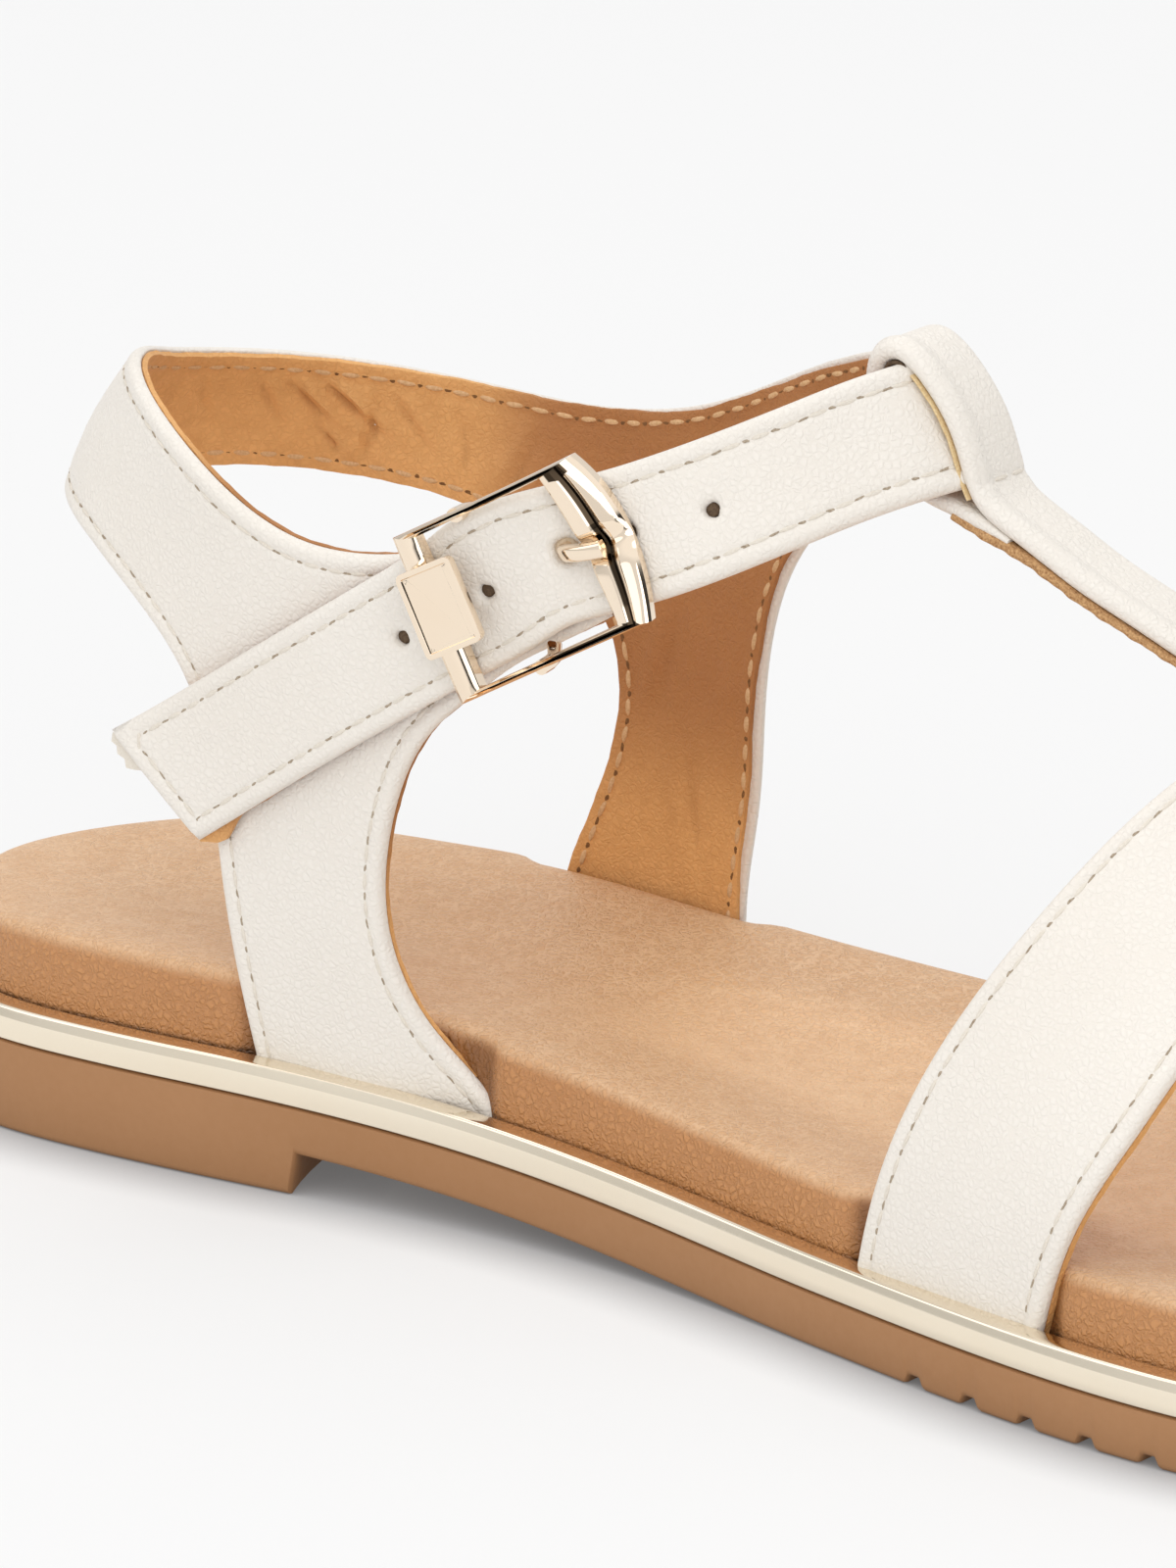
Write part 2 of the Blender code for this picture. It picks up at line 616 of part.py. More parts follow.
def make_sheet(name, flat, faces, surface, thickness, material):
    # flat points and triangles of a cut, bent onto a surface and given a thickness
    step = 0.2
    du = surface(flat + (step, 0.0)) - surface(flat - (step, 0.0))
    dv = surface(flat + (0.0, step)) - surface(flat - (0.0, step))
    normal = np.cross(du, dv)
    normal /= np.linalg.norm(normal, axis=1)[:, None]
    middle = surface(flat)
    bm = bmesh.new()
    used = sorted(set(faces.ravel()))
    top = {i: bm.verts.new(Vector(middle[i] + normal[i] * thickness / 2) * MM) for i in used}
    low = {i: bm.verts.new(Vector(middle[i] - normal[i] * thickness / 2) * MM) for i in used}
    count = {}
    for face in faces:
        for a, b in zip(face, np.roll(face, -1)):
            count[frozenset((a, b))] = count.get(frozenset((a, b)), 0) + 1
        bm.faces.new([top[i] for i in face])
        bm.faces.new([low[i] for i in face[::-1]])
    for face in faces:
        for a, b in zip(face, np.roll(face, -1)):
            if count[frozenset((a, b))] == 1:
                bm.faces.new((top[b], top[a], low[a], low[b]))
    return add_object(name, finish(bm), material)


def make_ribbon(name, rows, thickness, material):
    # rows of points across a strap, with a thickness for each row
    rows = np.asarray(rows, float)
    along = np.gradient(rows, axis=0)
    across = np.gradient(rows, axis=1)
    normal = np.cross(along, across)
    normal /= np.linalg.norm(normal, axis=2)[..., None]
    half = np.asarray(thickness, float)[:, None, None] / 2
    bm = bmesh.new()
    rings = []
    for top, low in zip(rows + normal * half, rows - normal * half):
        rings.append(add_ring(bm, np.vstack([top, low[::-1]])))
    for first, second in zip(rings, rings[1:]):
        bridge(bm, first, second)
    bm.faces.new(rings[0])
    bm.faces.new(rings[-1])
    return add_object(name, finish(bm), material)


def make_toe_strap(name, thickness, spread, deeper, material):
    # spread widens the strap at both edges, deeper lengthens both its ends
    at, length = curve_through([(y, z, x, fx, fy, fz) for x, y, z, fx, fy, fz in TOE_STRAP])
    run = np.linspace(0.0, length, TOE_ROWS)
    if deeper:
        run = np.r_[-deeper, run, length + deeper]
    rows = at(run)
    rear = rows[:, [2, 0, 1]]
    front = rows[:, [3, 4, 5]]
    way = (front - rear) / np.linalg.norm(front - rear, axis=1)[:, None]
    rear, front = rear - way * spread, front + way * spread
    share = np.linspace(0.0, 1.0, TOE_ACROSS)[None, :, None]
    cross = rear[:, None] * (1 - share) + front[:, None] * share
    return make_ribbon(name, cross, np.full(len(rows), thickness), material)


def make_tbar(name, material):
    at, length = curve_through(TBAR_LINE)
    rows = at(np.linspace(0.0, length, TBAR_ROWS))
    share = np.linspace(-0.5, 0.5, TBAR_ACROSS)
    cross = [[(x, y + width * t, z) for t in share] for x, z, y, width, wall in rows]
    return make_ribbon(name, cross, rows[:, 4], material)


def combine(obj, other, operation, meets_itself=False):
    # other becomes a hidden guide that obj is joined with or cut by
    other.hide_render = True
    other.display_type = "WIRE"
    modifier = obj.modifiers.new(other.name, "BOOLEAN")
    modifier.operation = operation
    modifier.object = other
    modifier.solver = "EXACT"
    modifier.use_self = meets_itself


def grown(outline, distance):
    # outline moved outwards; works for either direction of travel
    ahead = np.roll(outline, -1, axis=0) - np.roll(outline, 1, axis=0)
    normal = np.stack([ahead[:, 1], -ahead[:, 0]], 1) / np.linalg.norm(ahead, axis=1)[:, None]
    area = np.sum(outline[:, 0] * np.roll(outline[:, 1], -1) - np.roll(outline[:, 0], -1) * outline[:, 1])
    return outline + normal * distance * np.sign(area)


def make_upper(material):
    flat, faces = triangulate(ankle_outline(), strap_holes())
    upper = make_sheet("upper", flat, faces, ankle_sheet, STRAP_WALL, material)
    combine(upper, make_tbar("tbar_guide", material), "UNION", meets_itself=True)
    combine(upper, make_toe_strap("toe_strap_guide", TOE_WALL, 0.0, 0.0, material), "UNION")
    return upper


def make_leg_slots(material):
    # the legs of the same cut, a little larger all round and reaching on down
    outline = ankle_outline()
    flat, faces = triangulate(outline, strap_holes())
    border = grown(outline, GAP)
    base = outline[:, 1] < SLOT_BASE
    border[base, 1] -= SLOT_DEEPER
    border[base, 0] += SLOT_FLARE * np.sign(outline[base, 0]) * np.sign(abs(outline[base, 0]) - LEG_MIDDLE)
    flat[:len(outline)] = border
    legs = faces[(flat[faces][:, :, 1] < SLOT_TOP).all(axis=1)]
    return make_sheet("leg_slot_guide", flat, legs, ankle_sheet, STRAP_WALL + 2 * GAP, material)


def cut_pockets(pieces, material):
    # slots in rim and footbed for the ends of the straps
    legs = make_leg_slots(material)
    toe = make_toe_strap("toe_slot_guide", TOE_WALL + 2 * GAP, GAP, SLOT_DEEPER, material)
    for piece in pieces:
        combine(piece, legs, "DIFFERENCE")
        combine(piece, toe, "DIFFERENCE")


# Buckle

def frame_side(index):
    # inner (0) or outer (1) edge of the frame, run round from the bar nearest the tip
    tip, arch = FRAME_TIP_BAR[index], FRAME_ARCH_BAR[index]
    rail, bow = FRAME_RAIL[index], FRAME_ARCH[index]
    down_rail = np.linspace(0.0, 1.0, FRAME_RAIL_POINTS)[1:-1]
    upper, lower = tip + FRAME_SKEW * rail, tip - FRAME_SKEW * rail
    points = [(tip + FRAME_SKEW * w * rail, w * rail) for w in np.linspace(-1.0, 1.0, FRAME_BAR_POINTS)]
    points += [(upper + (arch - upper) * t, rail) for t in down_rail]
    points += [(arch - bow * (1 - w * w), -w * rail) for w in np.linspace(-1.0, 1.0, FRAME_ARCH_POINTS)]
    points += [(arch + (lower - arch) * t, -rail) for t in down_rail]
    return np.array(points)


def make_tube(name, path, radius, sides, material):
    # round bar along a path of buckle directions d, w, o
    path = np.asarray(path, float)
    ahead = np.gradient(path, axis=0)
    ahead /= np.linalg.norm(ahead, axis=1)[:, None]
    bend = np.cross(ahead[0], ahead[len(path) // 2])
    bend /= np.linalg.norm(bend)
    bm = bmesh.new()
    rings = []
    for point, way in zip(path, ahead):
        side = np.cross(bend, way)
        ring = []
        for angle in np.linspace(0.0, 2 * math.pi, sides, endpoint=False):
            across = math.cos(angle) * side + math.sin(angle) * bend
            ring.append(buckle_point(*(point + radius * across)))
        rings.append(add_ring(bm, ring))
    for first, second in zip(rings, rings[1:]):
        bridge(bm, first, second)
    bm.faces.new(rings[0])
    bm.faces.new(rings[-1])
    return add_object(name, finish(bm), material)


def make_buckle_frame(material):
    inner, outer = frame_side(0), frame_side(1)
    low, high = FRAME_LEVEL
    bm = bmesh.new()
    rings = []
    for (di, wi), (do, wo) in zip(inner, outer):
        top = high - FRAME_NOTCH * (do < 0 and abs(wo) < FRAME_NOTCH_WIDTH)
        ring = []
        for share, height in FRAME_SECTION:
            ring.append(buckle_point(di + (do - di) * share, wi + (wo - wi) * share,
                                     low + (top - low) * height))
        rings.append(add_ring(bm, ring))
    for first, second in zip(rings, rings[1:] + rings[:1]):
        bridge(bm, first, second)
    frame = add_object("buckle_frame", finish(bm), material)
    path = CENTRE_BAR_LINE + [(-w, o) for w, o in CENTRE_BAR_LINE[-2::-1]]
    bar = make_tube("centre_bar_guide", [(CENTRE_BAR_D, w, o) for w, o in path],
                    CENTRE_BAR_RADIUS, CENTRE_BAR_SIDES, material)
    combine(frame, bar, "UNION")
    return frame


def make_prong(material):
    path = [(d, w, o) for d, o, w in samples(PRONG_LINE, PRONG_STEP)]
    return make_tube("buckle_prong", path, PRONG_RADIUS, PRONG_SIDES, material)


def make_plate(material):
    (d0, d1), (w0, w1), (low, high) = PLATE_D, PLATE_W, PLATE_O
    bm = bmesh.new()
    rings = []
    for level, edge in ((low, 0.0), (high - PLATE_EDGE, 0.0), (high, PLATE_EDGE)):
        corners = [(d0 + edge, w0 + edge), (d1 - edge, w0 + edge),
                   (d1 - edge, w1 - edge), (d0 + edge, w1 - edge)]
        ring = []
        for (da, wa), (db, wb) in zip(corners, corners[1:] + corners[:1]):
            for t in (0.0, 0.5):
                w = wa + (wb - wa) * t
                ring.append(buckle_point(da + (db - da) * t + PLATE_SKEW * w, w, level))
        rings.append(add_ring(bm, ring))
    for first, second in zip(rings, rings[1:]):
        bridge(bm, first, second)
    bm.faces.new(rings[0])
    bm.faces.new(rings[-1])
    return add_object("buckle_plate", finish(bm), material)


def main():
    for obj in list(bpy.data.objects):
        bpy.data.objects.remove(obj, do_unlink=True)
    materials = {name: make_material(name) for name in MATERIALS}
    make_outsole(materials["rubber"])
    rim = make_rim(materials["gold_rim"])
    footbed = make_footbed(materials["tan_leather"])
    cut_pockets([rim, footbed], materials["tan_leather"])
    make_upper(materials["cream_leather"])
    make_buckle_frame(materials["gold_metal"])
    make_prong(materials["gold_metal"])
    make_plate(materials["gold_metal"])


main()
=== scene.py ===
# Looks of a flat T-bar sandal for the right foot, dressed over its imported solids.
# +X points to the toe, +Y to the inner side of the foot, +Z up. Lengths here are in
# millimetres and become metres where a mesh gets its points.
import math

import bpy
import numpy as np
from mathutils import Matrix, Vector
from mathutils.geometry import delaunay_2d_cdt


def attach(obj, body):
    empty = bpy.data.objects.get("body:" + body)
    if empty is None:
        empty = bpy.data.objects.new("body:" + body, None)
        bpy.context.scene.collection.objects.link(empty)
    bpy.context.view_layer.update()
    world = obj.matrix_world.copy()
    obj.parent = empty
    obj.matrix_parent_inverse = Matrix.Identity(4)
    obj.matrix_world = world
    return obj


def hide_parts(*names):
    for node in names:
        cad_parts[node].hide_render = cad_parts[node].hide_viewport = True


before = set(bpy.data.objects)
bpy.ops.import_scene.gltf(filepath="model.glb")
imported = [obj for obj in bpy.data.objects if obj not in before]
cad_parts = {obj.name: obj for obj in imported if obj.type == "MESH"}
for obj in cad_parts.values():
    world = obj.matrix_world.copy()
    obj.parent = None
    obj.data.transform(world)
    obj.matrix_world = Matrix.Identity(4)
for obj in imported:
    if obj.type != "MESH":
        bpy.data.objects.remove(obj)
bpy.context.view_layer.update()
mm = 0.001
print("frame loaded:", sorted(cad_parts))


# curves and small sums

def runAlong(points):
    # way along a line of points
    return np.r_[0.0, np.cumsum(np.linalg.norm(np.diff(points, axis=0), axis=1))]


def flatRun(points):
    # the same by the first two columns only
    return np.r_[0.0, np.cumsum(np.hypot(*np.diff(points[:, :2], axis=0).T))]


def unit(rows):
    return rows / np.linalg.norm(rows, axis=1)[:, None]


def curveThrough(rows, closed=False):
    # cubic curve through rows of numbers, by distance along the first two columns
    v = np.array(rows, float)
    if closed:
        v = np.vstack([v, v[:1]])
    t = flatRun(v)
    h = np.diff(t)
    slope = np.diff(v, axis=0) / h[:, None]
    n = len(t)
    a = np.eye(n)
    b = np.zeros_like(v)
    for i in range(1, n - 1):
        a[i, i - 1:i + 2] = h[i - 1], 2 * (h[i - 1] + h[i]), h[i]
        b[i] = 6 * (slope[i] - slope[i - 1])
    if closed:
        a[0, -1] = -1.0
        a[-1] = 0.0
        a[-1, [0, 1, n - 2]] = 2 * (h[-1] + h[0]), h[0], h[-1]
        b[-1] = 6 * (slope[0] - slope[-1])
    m = np.linalg.solve(a, b)

    def at(q):
        q = np.asarray(q, float)
        q = q % t[-1] if closed else q
        i = np.clip(np.searchsorted(t, q, side="right") - 1, 0, n - 2)
        left = ((t[i + 1] - q) / h[i])[..., None]
        right = 1 - left
        bend = (left ** 3 - left) * m[i] + (right ** 3 - right) * m[i + 1]
        return left * v[i] + right * v[i + 1] + bend * (h[i] ** 2)[..., None] / 6

    return at, t[-1]


def alongCurve(rows, step):
    at, length = curveThrough(rows)
    return at(np.linspace(0.0, length, max(2, int(round(length / step)) + 1)))


def betweenCorners(start, end, step):
    start, end = np.array(start, float), np.array(end, float)
    count = max(1, int(round(np.linalg.norm(end - start) / step)))
    return start + (end - start) * np.linspace(0.0, 1.0, count + 1)[1:-1, None]


def smoothStep(x, start, end):
    t = np.clip((np.asarray(x, float) - start) / (end - start), 0.0, 1.0)
    return t * t * (3 - 2 * t)


def bell(x, middle, reach):
    return np.exp(-((np.asarray(x, float) - middle) / reach) ** 2)


# pieces are started from primitives and shaped by their points

def deselectAll():
    if bpy.context.object and bpy.context.object.mode != "OBJECT":
        bpy.ops.object.mode_set(mode="OBJECT")
    bpy.ops.object.select_all(action="DESELECT")


def tidyMesh(piece, sharpAngle, closeEnds=True):
    deselectAll()
    piece.select_set(True)
    bpy.context.view_layer.objects.active = piece
    bpy.ops.object.mode_set(mode="EDIT")
    bpy.ops.mesh.select_all(action="SELECT")
    bpy.ops.mesh.remove_doubles(threshold=0.000002)
    if closeEnds:
        bpy.ops.mesh.select_all(action="DESELECT")
        bpy.ops.mesh.select_non_manifold()
        bpy.ops.mesh.fill_holes(sides=0)
    bpy.ops.mesh.select_all(action="SELECT")
    bpy.ops.mesh.normals_make_consistent(inside=False)
    bpy.ops.object.mode_set(mode="OBJECT")
    bpy.ops.object.shade_smooth_by_angle(angle=math.radians(sharpAngle))
    return piece


def loftPiece(name, rings, closedAlong=False, sharpAngle=40.0):
    # a grid primitive whose columns are moved onto rings of points
    rings = np.asarray(rings, float)
    if closedAlong:
        rings = np.concatenate([rings, rings[:1]])
    rings = np.concatenate([rings, rings[:, :1]], axis=1)
    columns, rows = rings.shape[0] - 1, rings.shape[1] - 1
    deselectAll()
    bpy.ops.mesh.primitive_grid_add(x_subdivisions=columns, y_subdivisions=rows, size=2)
    piece = bpy.context.object
    piece.name = name
    flat = np.empty(len(piece.data.vertices) * 3)
    piece.data.vertices.foreach_get("co", flat)
    flat = flat.reshape(-1, 3)
    i = np.rint((flat[:, 0] + 1) / 2 * columns).astype(int)
    j = np.rint((flat[:, 1] + 1) / 2 * rows).astype(int)
    piece.data.vertices.foreach_set("co", (rings[i, j] * mm).ravel())
    piece.data.update()
    return tidyMesh(piece, sharpAngle, closeEnds=not closedAlong)


def meshPiece(name, points, faces, sharpAngle=40.0, tidy=True):
    mesh = bpy.data.meshes.new(name)
    mesh.from_pydata([tuple(p) for p in np.asarray(points) * mm], [], [tuple(f) for f in faces])
    mesh.update()
    piece = bpy.data.objects.new(name, mesh)
    bpy.context.scene.collection.objects.link(piece)
    if tidy:
        tidyMesh(piece, sharpAngle, closeEnds=False)
    return piece


def keepMark(piece, name, values):
    # a number for each point of the piece, read by its finish
    kept = piece.data.attributes.new(name, "FLOAT", "POINT")
    kept.data.foreach_set("value", np.asarray(values, np.float32))


def pointsOf(piece):
    place = np.empty(len(piece.data.vertices) * 3)
    piece.data.vertices.foreach_get("co", place)
    return place.reshape(-1, 3) / mm


def settle(piece, material, slotName, *nodes):
    piece.data.materials.clear()
    piece.data.materials.append(material)
    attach(piece, "root")
    if nodes:
        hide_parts(*nodes)
    return piece


# shader node groups that several finishes share

def newGroup(name, numbers, outputs):
    # a group that takes a place and named numbers, and gives named numbers
    group = bpy.data.node_groups.new(name, "ShaderNodeTree")
    group.interface.new_socket("Vector", in_out="INPUT", socket_type="NodeSocketVector")
    for label, value in numbers.items():
        socket = group.interface.new_socket(label, in_out="INPUT", socket_type="NodeSocketFloat")
        socket.default_value = value
    for label in outputs:
        group.interface.new_socket(label, in_out="OUTPUT", socket_type="NodeSocketFloat")
    start = group.nodes.new("NodeGroupInput")
    end = group.nodes.new("NodeGroupOutput")
    return group, start.outputs, end.inputs


def addNode(tree, kind, values=None, **settings):
    # values are numbers or the outputs of other nodes
    node = tree.nodes.new(kind)
    for key, value in settings.items():
        setattr(node, key, value)
    for key, value in (values or {}).items():
        if isinstance(value, bpy.types.NodeSocket):
            tree.links.new(value, node.inputs[key])
        else:
            node.inputs[key].default_value = value
    return node


def addMath(tree, operation, first, second, clamp=False):
    given = {0: first, 1: second}
    return addNode(tree, "ShaderNodeMath", given, operation=operation, use_clamp=clamp).outputs["Value"]


def addMix(tree, share, first, second):
    # colours are tuples or the outputs of other nodes
    colours = [(*c, 1.0) if isinstance(c, tuple) else c for c in (first, second)]
    given = {0: share, 6: colours[0], 7: colours[1]}
    return addNode(tree, "ShaderNodeMix", given, data_type="RGBA").outputs[2]


def addSoftRange(tree, value, low, high):
    given = {"Value": value, "From Min": low, "From Max": high}
    node = addNode(tree, "ShaderNodeMapRange", given, interpolation_type="SMOOTHSTEP")
    return node.outputs["Result"]


def pebbleGroup():
    # cells with soft valleys between them, as on pressed leather
    domeReach, fineShare = 0.28, 0.45
    group, given, result = newGroup(
        "pebbleGrain", {"Scale": 800.0, "Fine": 3000.0, "Wander": 0.0004}, ("Height", "Valley"))
    place, scale = given["Vector"], given["Scale"]
    drift = addNode(group, "ShaderNodeTexNoise", {"Vector": place, "Scale": scale, "Detail": 2.0})
    centred = addNode(group, "ShaderNodeVectorMath", {0: drift.outputs["Color"], 1: (0.5, 0.5, 0.5)},
                      operation="SUBTRACT")
    scaled = addNode(group, "ShaderNodeVectorMath", {0: centred.outputs[0], "Scale": given["Wander"]},
                     operation="SCALE")
    moved = addNode(group, "ShaderNodeVectorMath", {0: place, 1: scaled.outputs[0]}, operation="ADD")
    cells = addNode(group, "ShaderNodeTexVoronoi", {"Vector": moved.outputs[0], "Scale": scale},
                    feature="DISTANCE_TO_EDGE")
    dome = addSoftRange(group, cells.outputs["Distance"], 0.0, domeReach)
    fine = addNode(group, "ShaderNodeTexNoise", {
        "Vector": place, "Scale": given["Fine"], "Detail": 4.0, "Roughness": 0.6})
    small = addMath(group, "MULTIPLY", fine.outputs["Fac"], fineShare)
    group.links.new(addMath(group, "ADD", dome, small), result["Height"])
    group.links.new(addMath(group, "SUBTRACT", 1.0, dome), result["Valley"])
    return group


def mottleGroup():
    # slow and quick patches, both centred on a half
    group, given, result = newGroup("mottle", {"Slow": 40.0, "Quick": 400.0}, ("Slow", "Quick"))
    for label, detail in (("Slow", 3.0), ("Quick", 5.0)):
        patches = addNode(group, "ShaderNodeTexNoise", {
            "Vector": given["Vector"], "Scale": given[label], "Detail": detail, "Roughness": 0.55})
        spread = addNode(group, "ShaderNodeMapRange", {
            "Value": patches.outputs["Fac"], "From Min": 0.3, "From Max": 0.7})
        group.links.new(spread.outputs["Result"], result[label])
    return group


pebbleGrain = pebbleGroup()
mottle = mottleGroup()


class Finish:
    # a material with its own Principled shader and Object coordinates
    def __init__(self, name, roughness, metallic=0.0, specular=0.5):
        self.material = bpy.data.materials.new(name)
        self.material.use_nodes = True
        self.tree = self.material.node_tree
        self.inputs = self.tree.nodes["Principled BSDF"].inputs
        self.inputs["Roughness"].default_value = roughness
        self.inputs["Metallic"].default_value = metallic
        self.inputs["Specular IOR Level"].default_value = specular
        self.place = addNode(self.tree, "ShaderNodeTexCoord").outputs["Object"]

    def group(self, group, **values):
        values["Vector"] = self.place
        return addNode(self.tree, "ShaderNodeGroup", values, node_tree=group).outputs

    def noise(self, place, **values):
        values["Vector"] = place
        return addNode(self.tree, "ShaderNodeTexNoise", values).outputs["Fac"]

    def calc(self, operation, first, second, clamp=False):
        return addMath(self.tree, operation, first, second, clamp)

    def scaled(self, first, second, clamp=False):
        return addMath(self.tree, "MULTIPLY", first, second, clamp)

    def blend(self, share, first, second):
        return addMix(self.tree, share, first, second)

    def tint(self, base, mask, share, colour):
        # goes a share of the way to a colour where the mask says so
        return self.blend(self.scaled(mask, share), base, colour)

    def colour(self, value):
        self.tree.links.new(value, self.inputs["Base Color"])

    def roughness(self, share, low, high):
        node = addNode(self.tree, "ShaderNodeMapRange", {"Value": share, "To Min": low, "To Max": high})
        self.tree.links.new(node.outputs["Result"], self.inputs["Roughness"])

    def mark(self, name, low, high):
        # share between two values of a number kept on the piece's points
        kept = addNode(self.tree, "ShaderNodeAttribute", attribute_name=name)
        return addSoftRange(self.tree, kept.outputs["Fac"], low, high)

    def bump(self, height, distance, strength):
        given = {"Height": height, "Distance": distance * mm, "Strength": strength}
        node = addNode(self.tree, "ShaderNodeBump", given)
        self.tree.links.new(node.outputs["Normal"], self.inputs["Normal"])


def creamLeatherFinish():
    f = Finish("creamLeather", 0.5, specular=0.35)
    grain = f.group(pebbleGrain, Scale=1300.0, Fine=4200.0, Wander=0.0006)
    patch = f.group(mottle, Slow=35.0, Quick=500.0)
    base = f.blend(patch["Slow"], (0.81, 0.76, 0.692), (0.835, 0.79, 0.727))
    f.colour(f.tint(base, grain["Valley"], 0.16, (0.70, 0.635, 0.555)))
    f.roughness(patch["Quick"], 0.42, 0.56)
    f.bump(grain["Height"], 0.07, 0.7)
    return f.material


def liningFinish():
    # darker where the marks on its points say so: painted shadow of the strap by 'shade', painted shade in
    # the creases by 'crease'
    f = Finish("tanLining", 0.75, specular=0.25)
    grain = f.group(pebbleGrain, Scale=1300.0, Fine=3600.0, Wander=0.0012)
    patch = f.group(mottle, Slow=60.0, Quick=500.0)
    # light and dark are a lit and a painted-shadow copy of the lining's colour
    light = f.blend(patch["Slow"], (0.75, 0.40, 0.148), (0.86, 0.48, 0.19))
    dark = f.blend(patch["Slow"], (0.39, 0.165, 0.058), (0.46, 0.205, 0.078))
    base = f.blend(f.mark("shade", 0.0, 1.0), light, dark)
    # painted shade along the lining's creases
    base = f.tint(base, f.mark("crease", 0.05, 0.6), 0.4, (0.30, 0.125, 0.042))
    base = f.tint(base, patch["Quick"], 0.22, (0.48, 0.225, 0.075))
    f.colour(f.tint(base, grain["Valley"], 0.12, (0.42, 0.185, 0.06)))
    f.roughness(patch["Quick"], 0.55, 0.75)
    folds = f.scaled(f.noise(f.place, Scale=130.0, Detail=4.0, Distortion=1.2), 2.6)
    f.bump(f.calc("ADD", grain["Height"], folds), 0.1, 0.6)
    return f.material


def footbedFinish():
    # top, wall, pockets and glued seam take their shares from the marks on the footbed's points; the darker
    # wall and pockets are painted shade and the paler middle of the top is painted sheen
    f = Finish("tanFootbedLeather", 0.45, specular=0.5)
    grain = f.group(pebbleGrain, Scale=1150.0, Fine=3000.0, Wander=0.0013)
    patch = f.group(mottle, Slow=22.0, Quick=300.0)
    onTop = f.calc("MAXIMUM", f.mark("rise", 0.84, 1.0), f.mark("inward", 7.0, 9.0))
    onWall = f.calc("SUBTRACT", 1.0, onTop)
    top = f.blend(patch["Slow"], (0.635, 0.375, 0.19), (0.715, 0.445, 0.245))
    # painted sheen: the top is paler over a stretch of its middle
    paintedSheen = f.blend(patch["Slow"], (0.82, 0.51, 0.275), (0.90, 0.59, 0.335))
    top = f.blend(f.mark("paintedSheen", 0.0, 1.0), top, paintedSheen)
    top = f.tint(top, grain["Valley"], 0.45, (0.84, 0.59, 0.37))
    # painted shade: the wall is coloured darker than the top
    side = f.blend(patch["Slow"], (0.50, 0.222, 0.076), (0.555, 0.258, 0.093))
    side = f.tint(side, grain["Valley"], 0.36, (0.36, 0.15, 0.05))
    base = f.tint(f.blend(onTop, side, top), patch["Quick"], 0.25, (0.50, 0.245, 0.105))
    streaks = addNode(f.tree, "ShaderNodeMapping", {"Vector": f.place, "Scale": (1.0, 1.0, 0.18)})
    wrinkles = f.noise(streaks.outputs["Vector"], Scale=420.0, Detail=3.0, Distortion=0.6)
    # painted shade: the wall darkens in the pockets where a strap presses it in
    pressed = f.scaled(f.mark("pocket", 0.1, 0.8), onWall)
    furrows = f.calc("ADD", wrinkles, 0.35, clamp=True)
    base = f.tint(base, pressed, furrows, (0.22, 0.085, 0.022))
    glue = f.calc("SUBTRACT", 1.0, f.mark("rise", 0.10, 0.27))
    specks = f.calc("ADD", patch["Quick"], 0.35, clamp=True)
    base = f.tint(base, glue, specks, (0.13, 0.052, 0.017))
    seam = f.calc("SUBTRACT", f.mark("rise", 0.17, 0.23), f.mark("rise", 0.27, 0.34))
    dots = f.scaled(f.noise(f.place, Scale=1500.0, Detail=2.0), 1.5, clamp=True)
    f.colour(f.tint(base, seam, dots, (0.085, 0.036, 0.014)))
    f.roughness(patch["Quick"], 0.32, 0.48)
    folded = f.calc("ADD", f.scaled(onWall, 1.2), f.scaled(pressed, 4.0))
    f.bump(f.calc("ADD", grain["Height"], f.scaled(wrinkles, folded)), 0.16, 0.7)
    return f.material


def rubberFinish():
    f = Finish("brownRubber", 0.55, specular=0.35)
    patch = f.group(mottle, Slow=25.0, Quick=900.0)
    base = f.blend(patch["Slow"], (0.365, 0.180, 0.076), (0.395, 0.198, 0.087))
    f.colour(f.tint(base, patch["Quick"], 0.12, (0.30, 0.14, 0.055)))
    f.roughness(patch["Quick"], 0.5, 0.62)
    f.bump(patch["Quick"], 0.03, 0.35)
    return f.material


def goldFinish(name, colour, deep, low, high):
    # polished metal, with a painted dark reflection where the mark on its points says so
    f = Finish(name, low, metallic=1.0)
    patch = f.group(mottle, Slow=60.0, Quick=1500.0)
    polished = f.tint(colour, patch["Slow"], 0.35, deep)
    f.colour(f.blend(f.mark("darkReflection", 0.42, 0.58), polished, (0.05, 0.035, 0.022)))
    f.roughness(patch["Quick"], low, high)
    return f.material


def threadFinish(name, light, dark):
    f = Finish(name, 0.8, specular=0.2)
    patch = f.group(mottle, Slow=300.0, Quick=4000.0)
    f.colour(f.blend(patch["Quick"], light, dark))
    f.bump(patch["Quick"], 0.05, 0.6)
    return f.material


creamLeather = creamLeatherFinish()
tanLining = liningFinish()
tanFootbedLeather = footbedFinish()
brownRubber = rubberFinish()
rimGold = goldFinish("rimGold", (0.92, 0.83, 0.68), (0.88, 0.77, 0.59), 0.08, 0.15)
buckleGold = goldFinish("buckleGold", (0.94, 0.80, 0.64), (0.89, 0.71, 0.52), 0.04, 0.09)
creamThread = threadFinish("creamThread", (0.79, 0.735, 0.65), (0.71, 0.645, 0.555))
tanThread = threadFinish("tanThread", (0.76, 0.51, 0.29), (0.60, 0.36, 0.17))
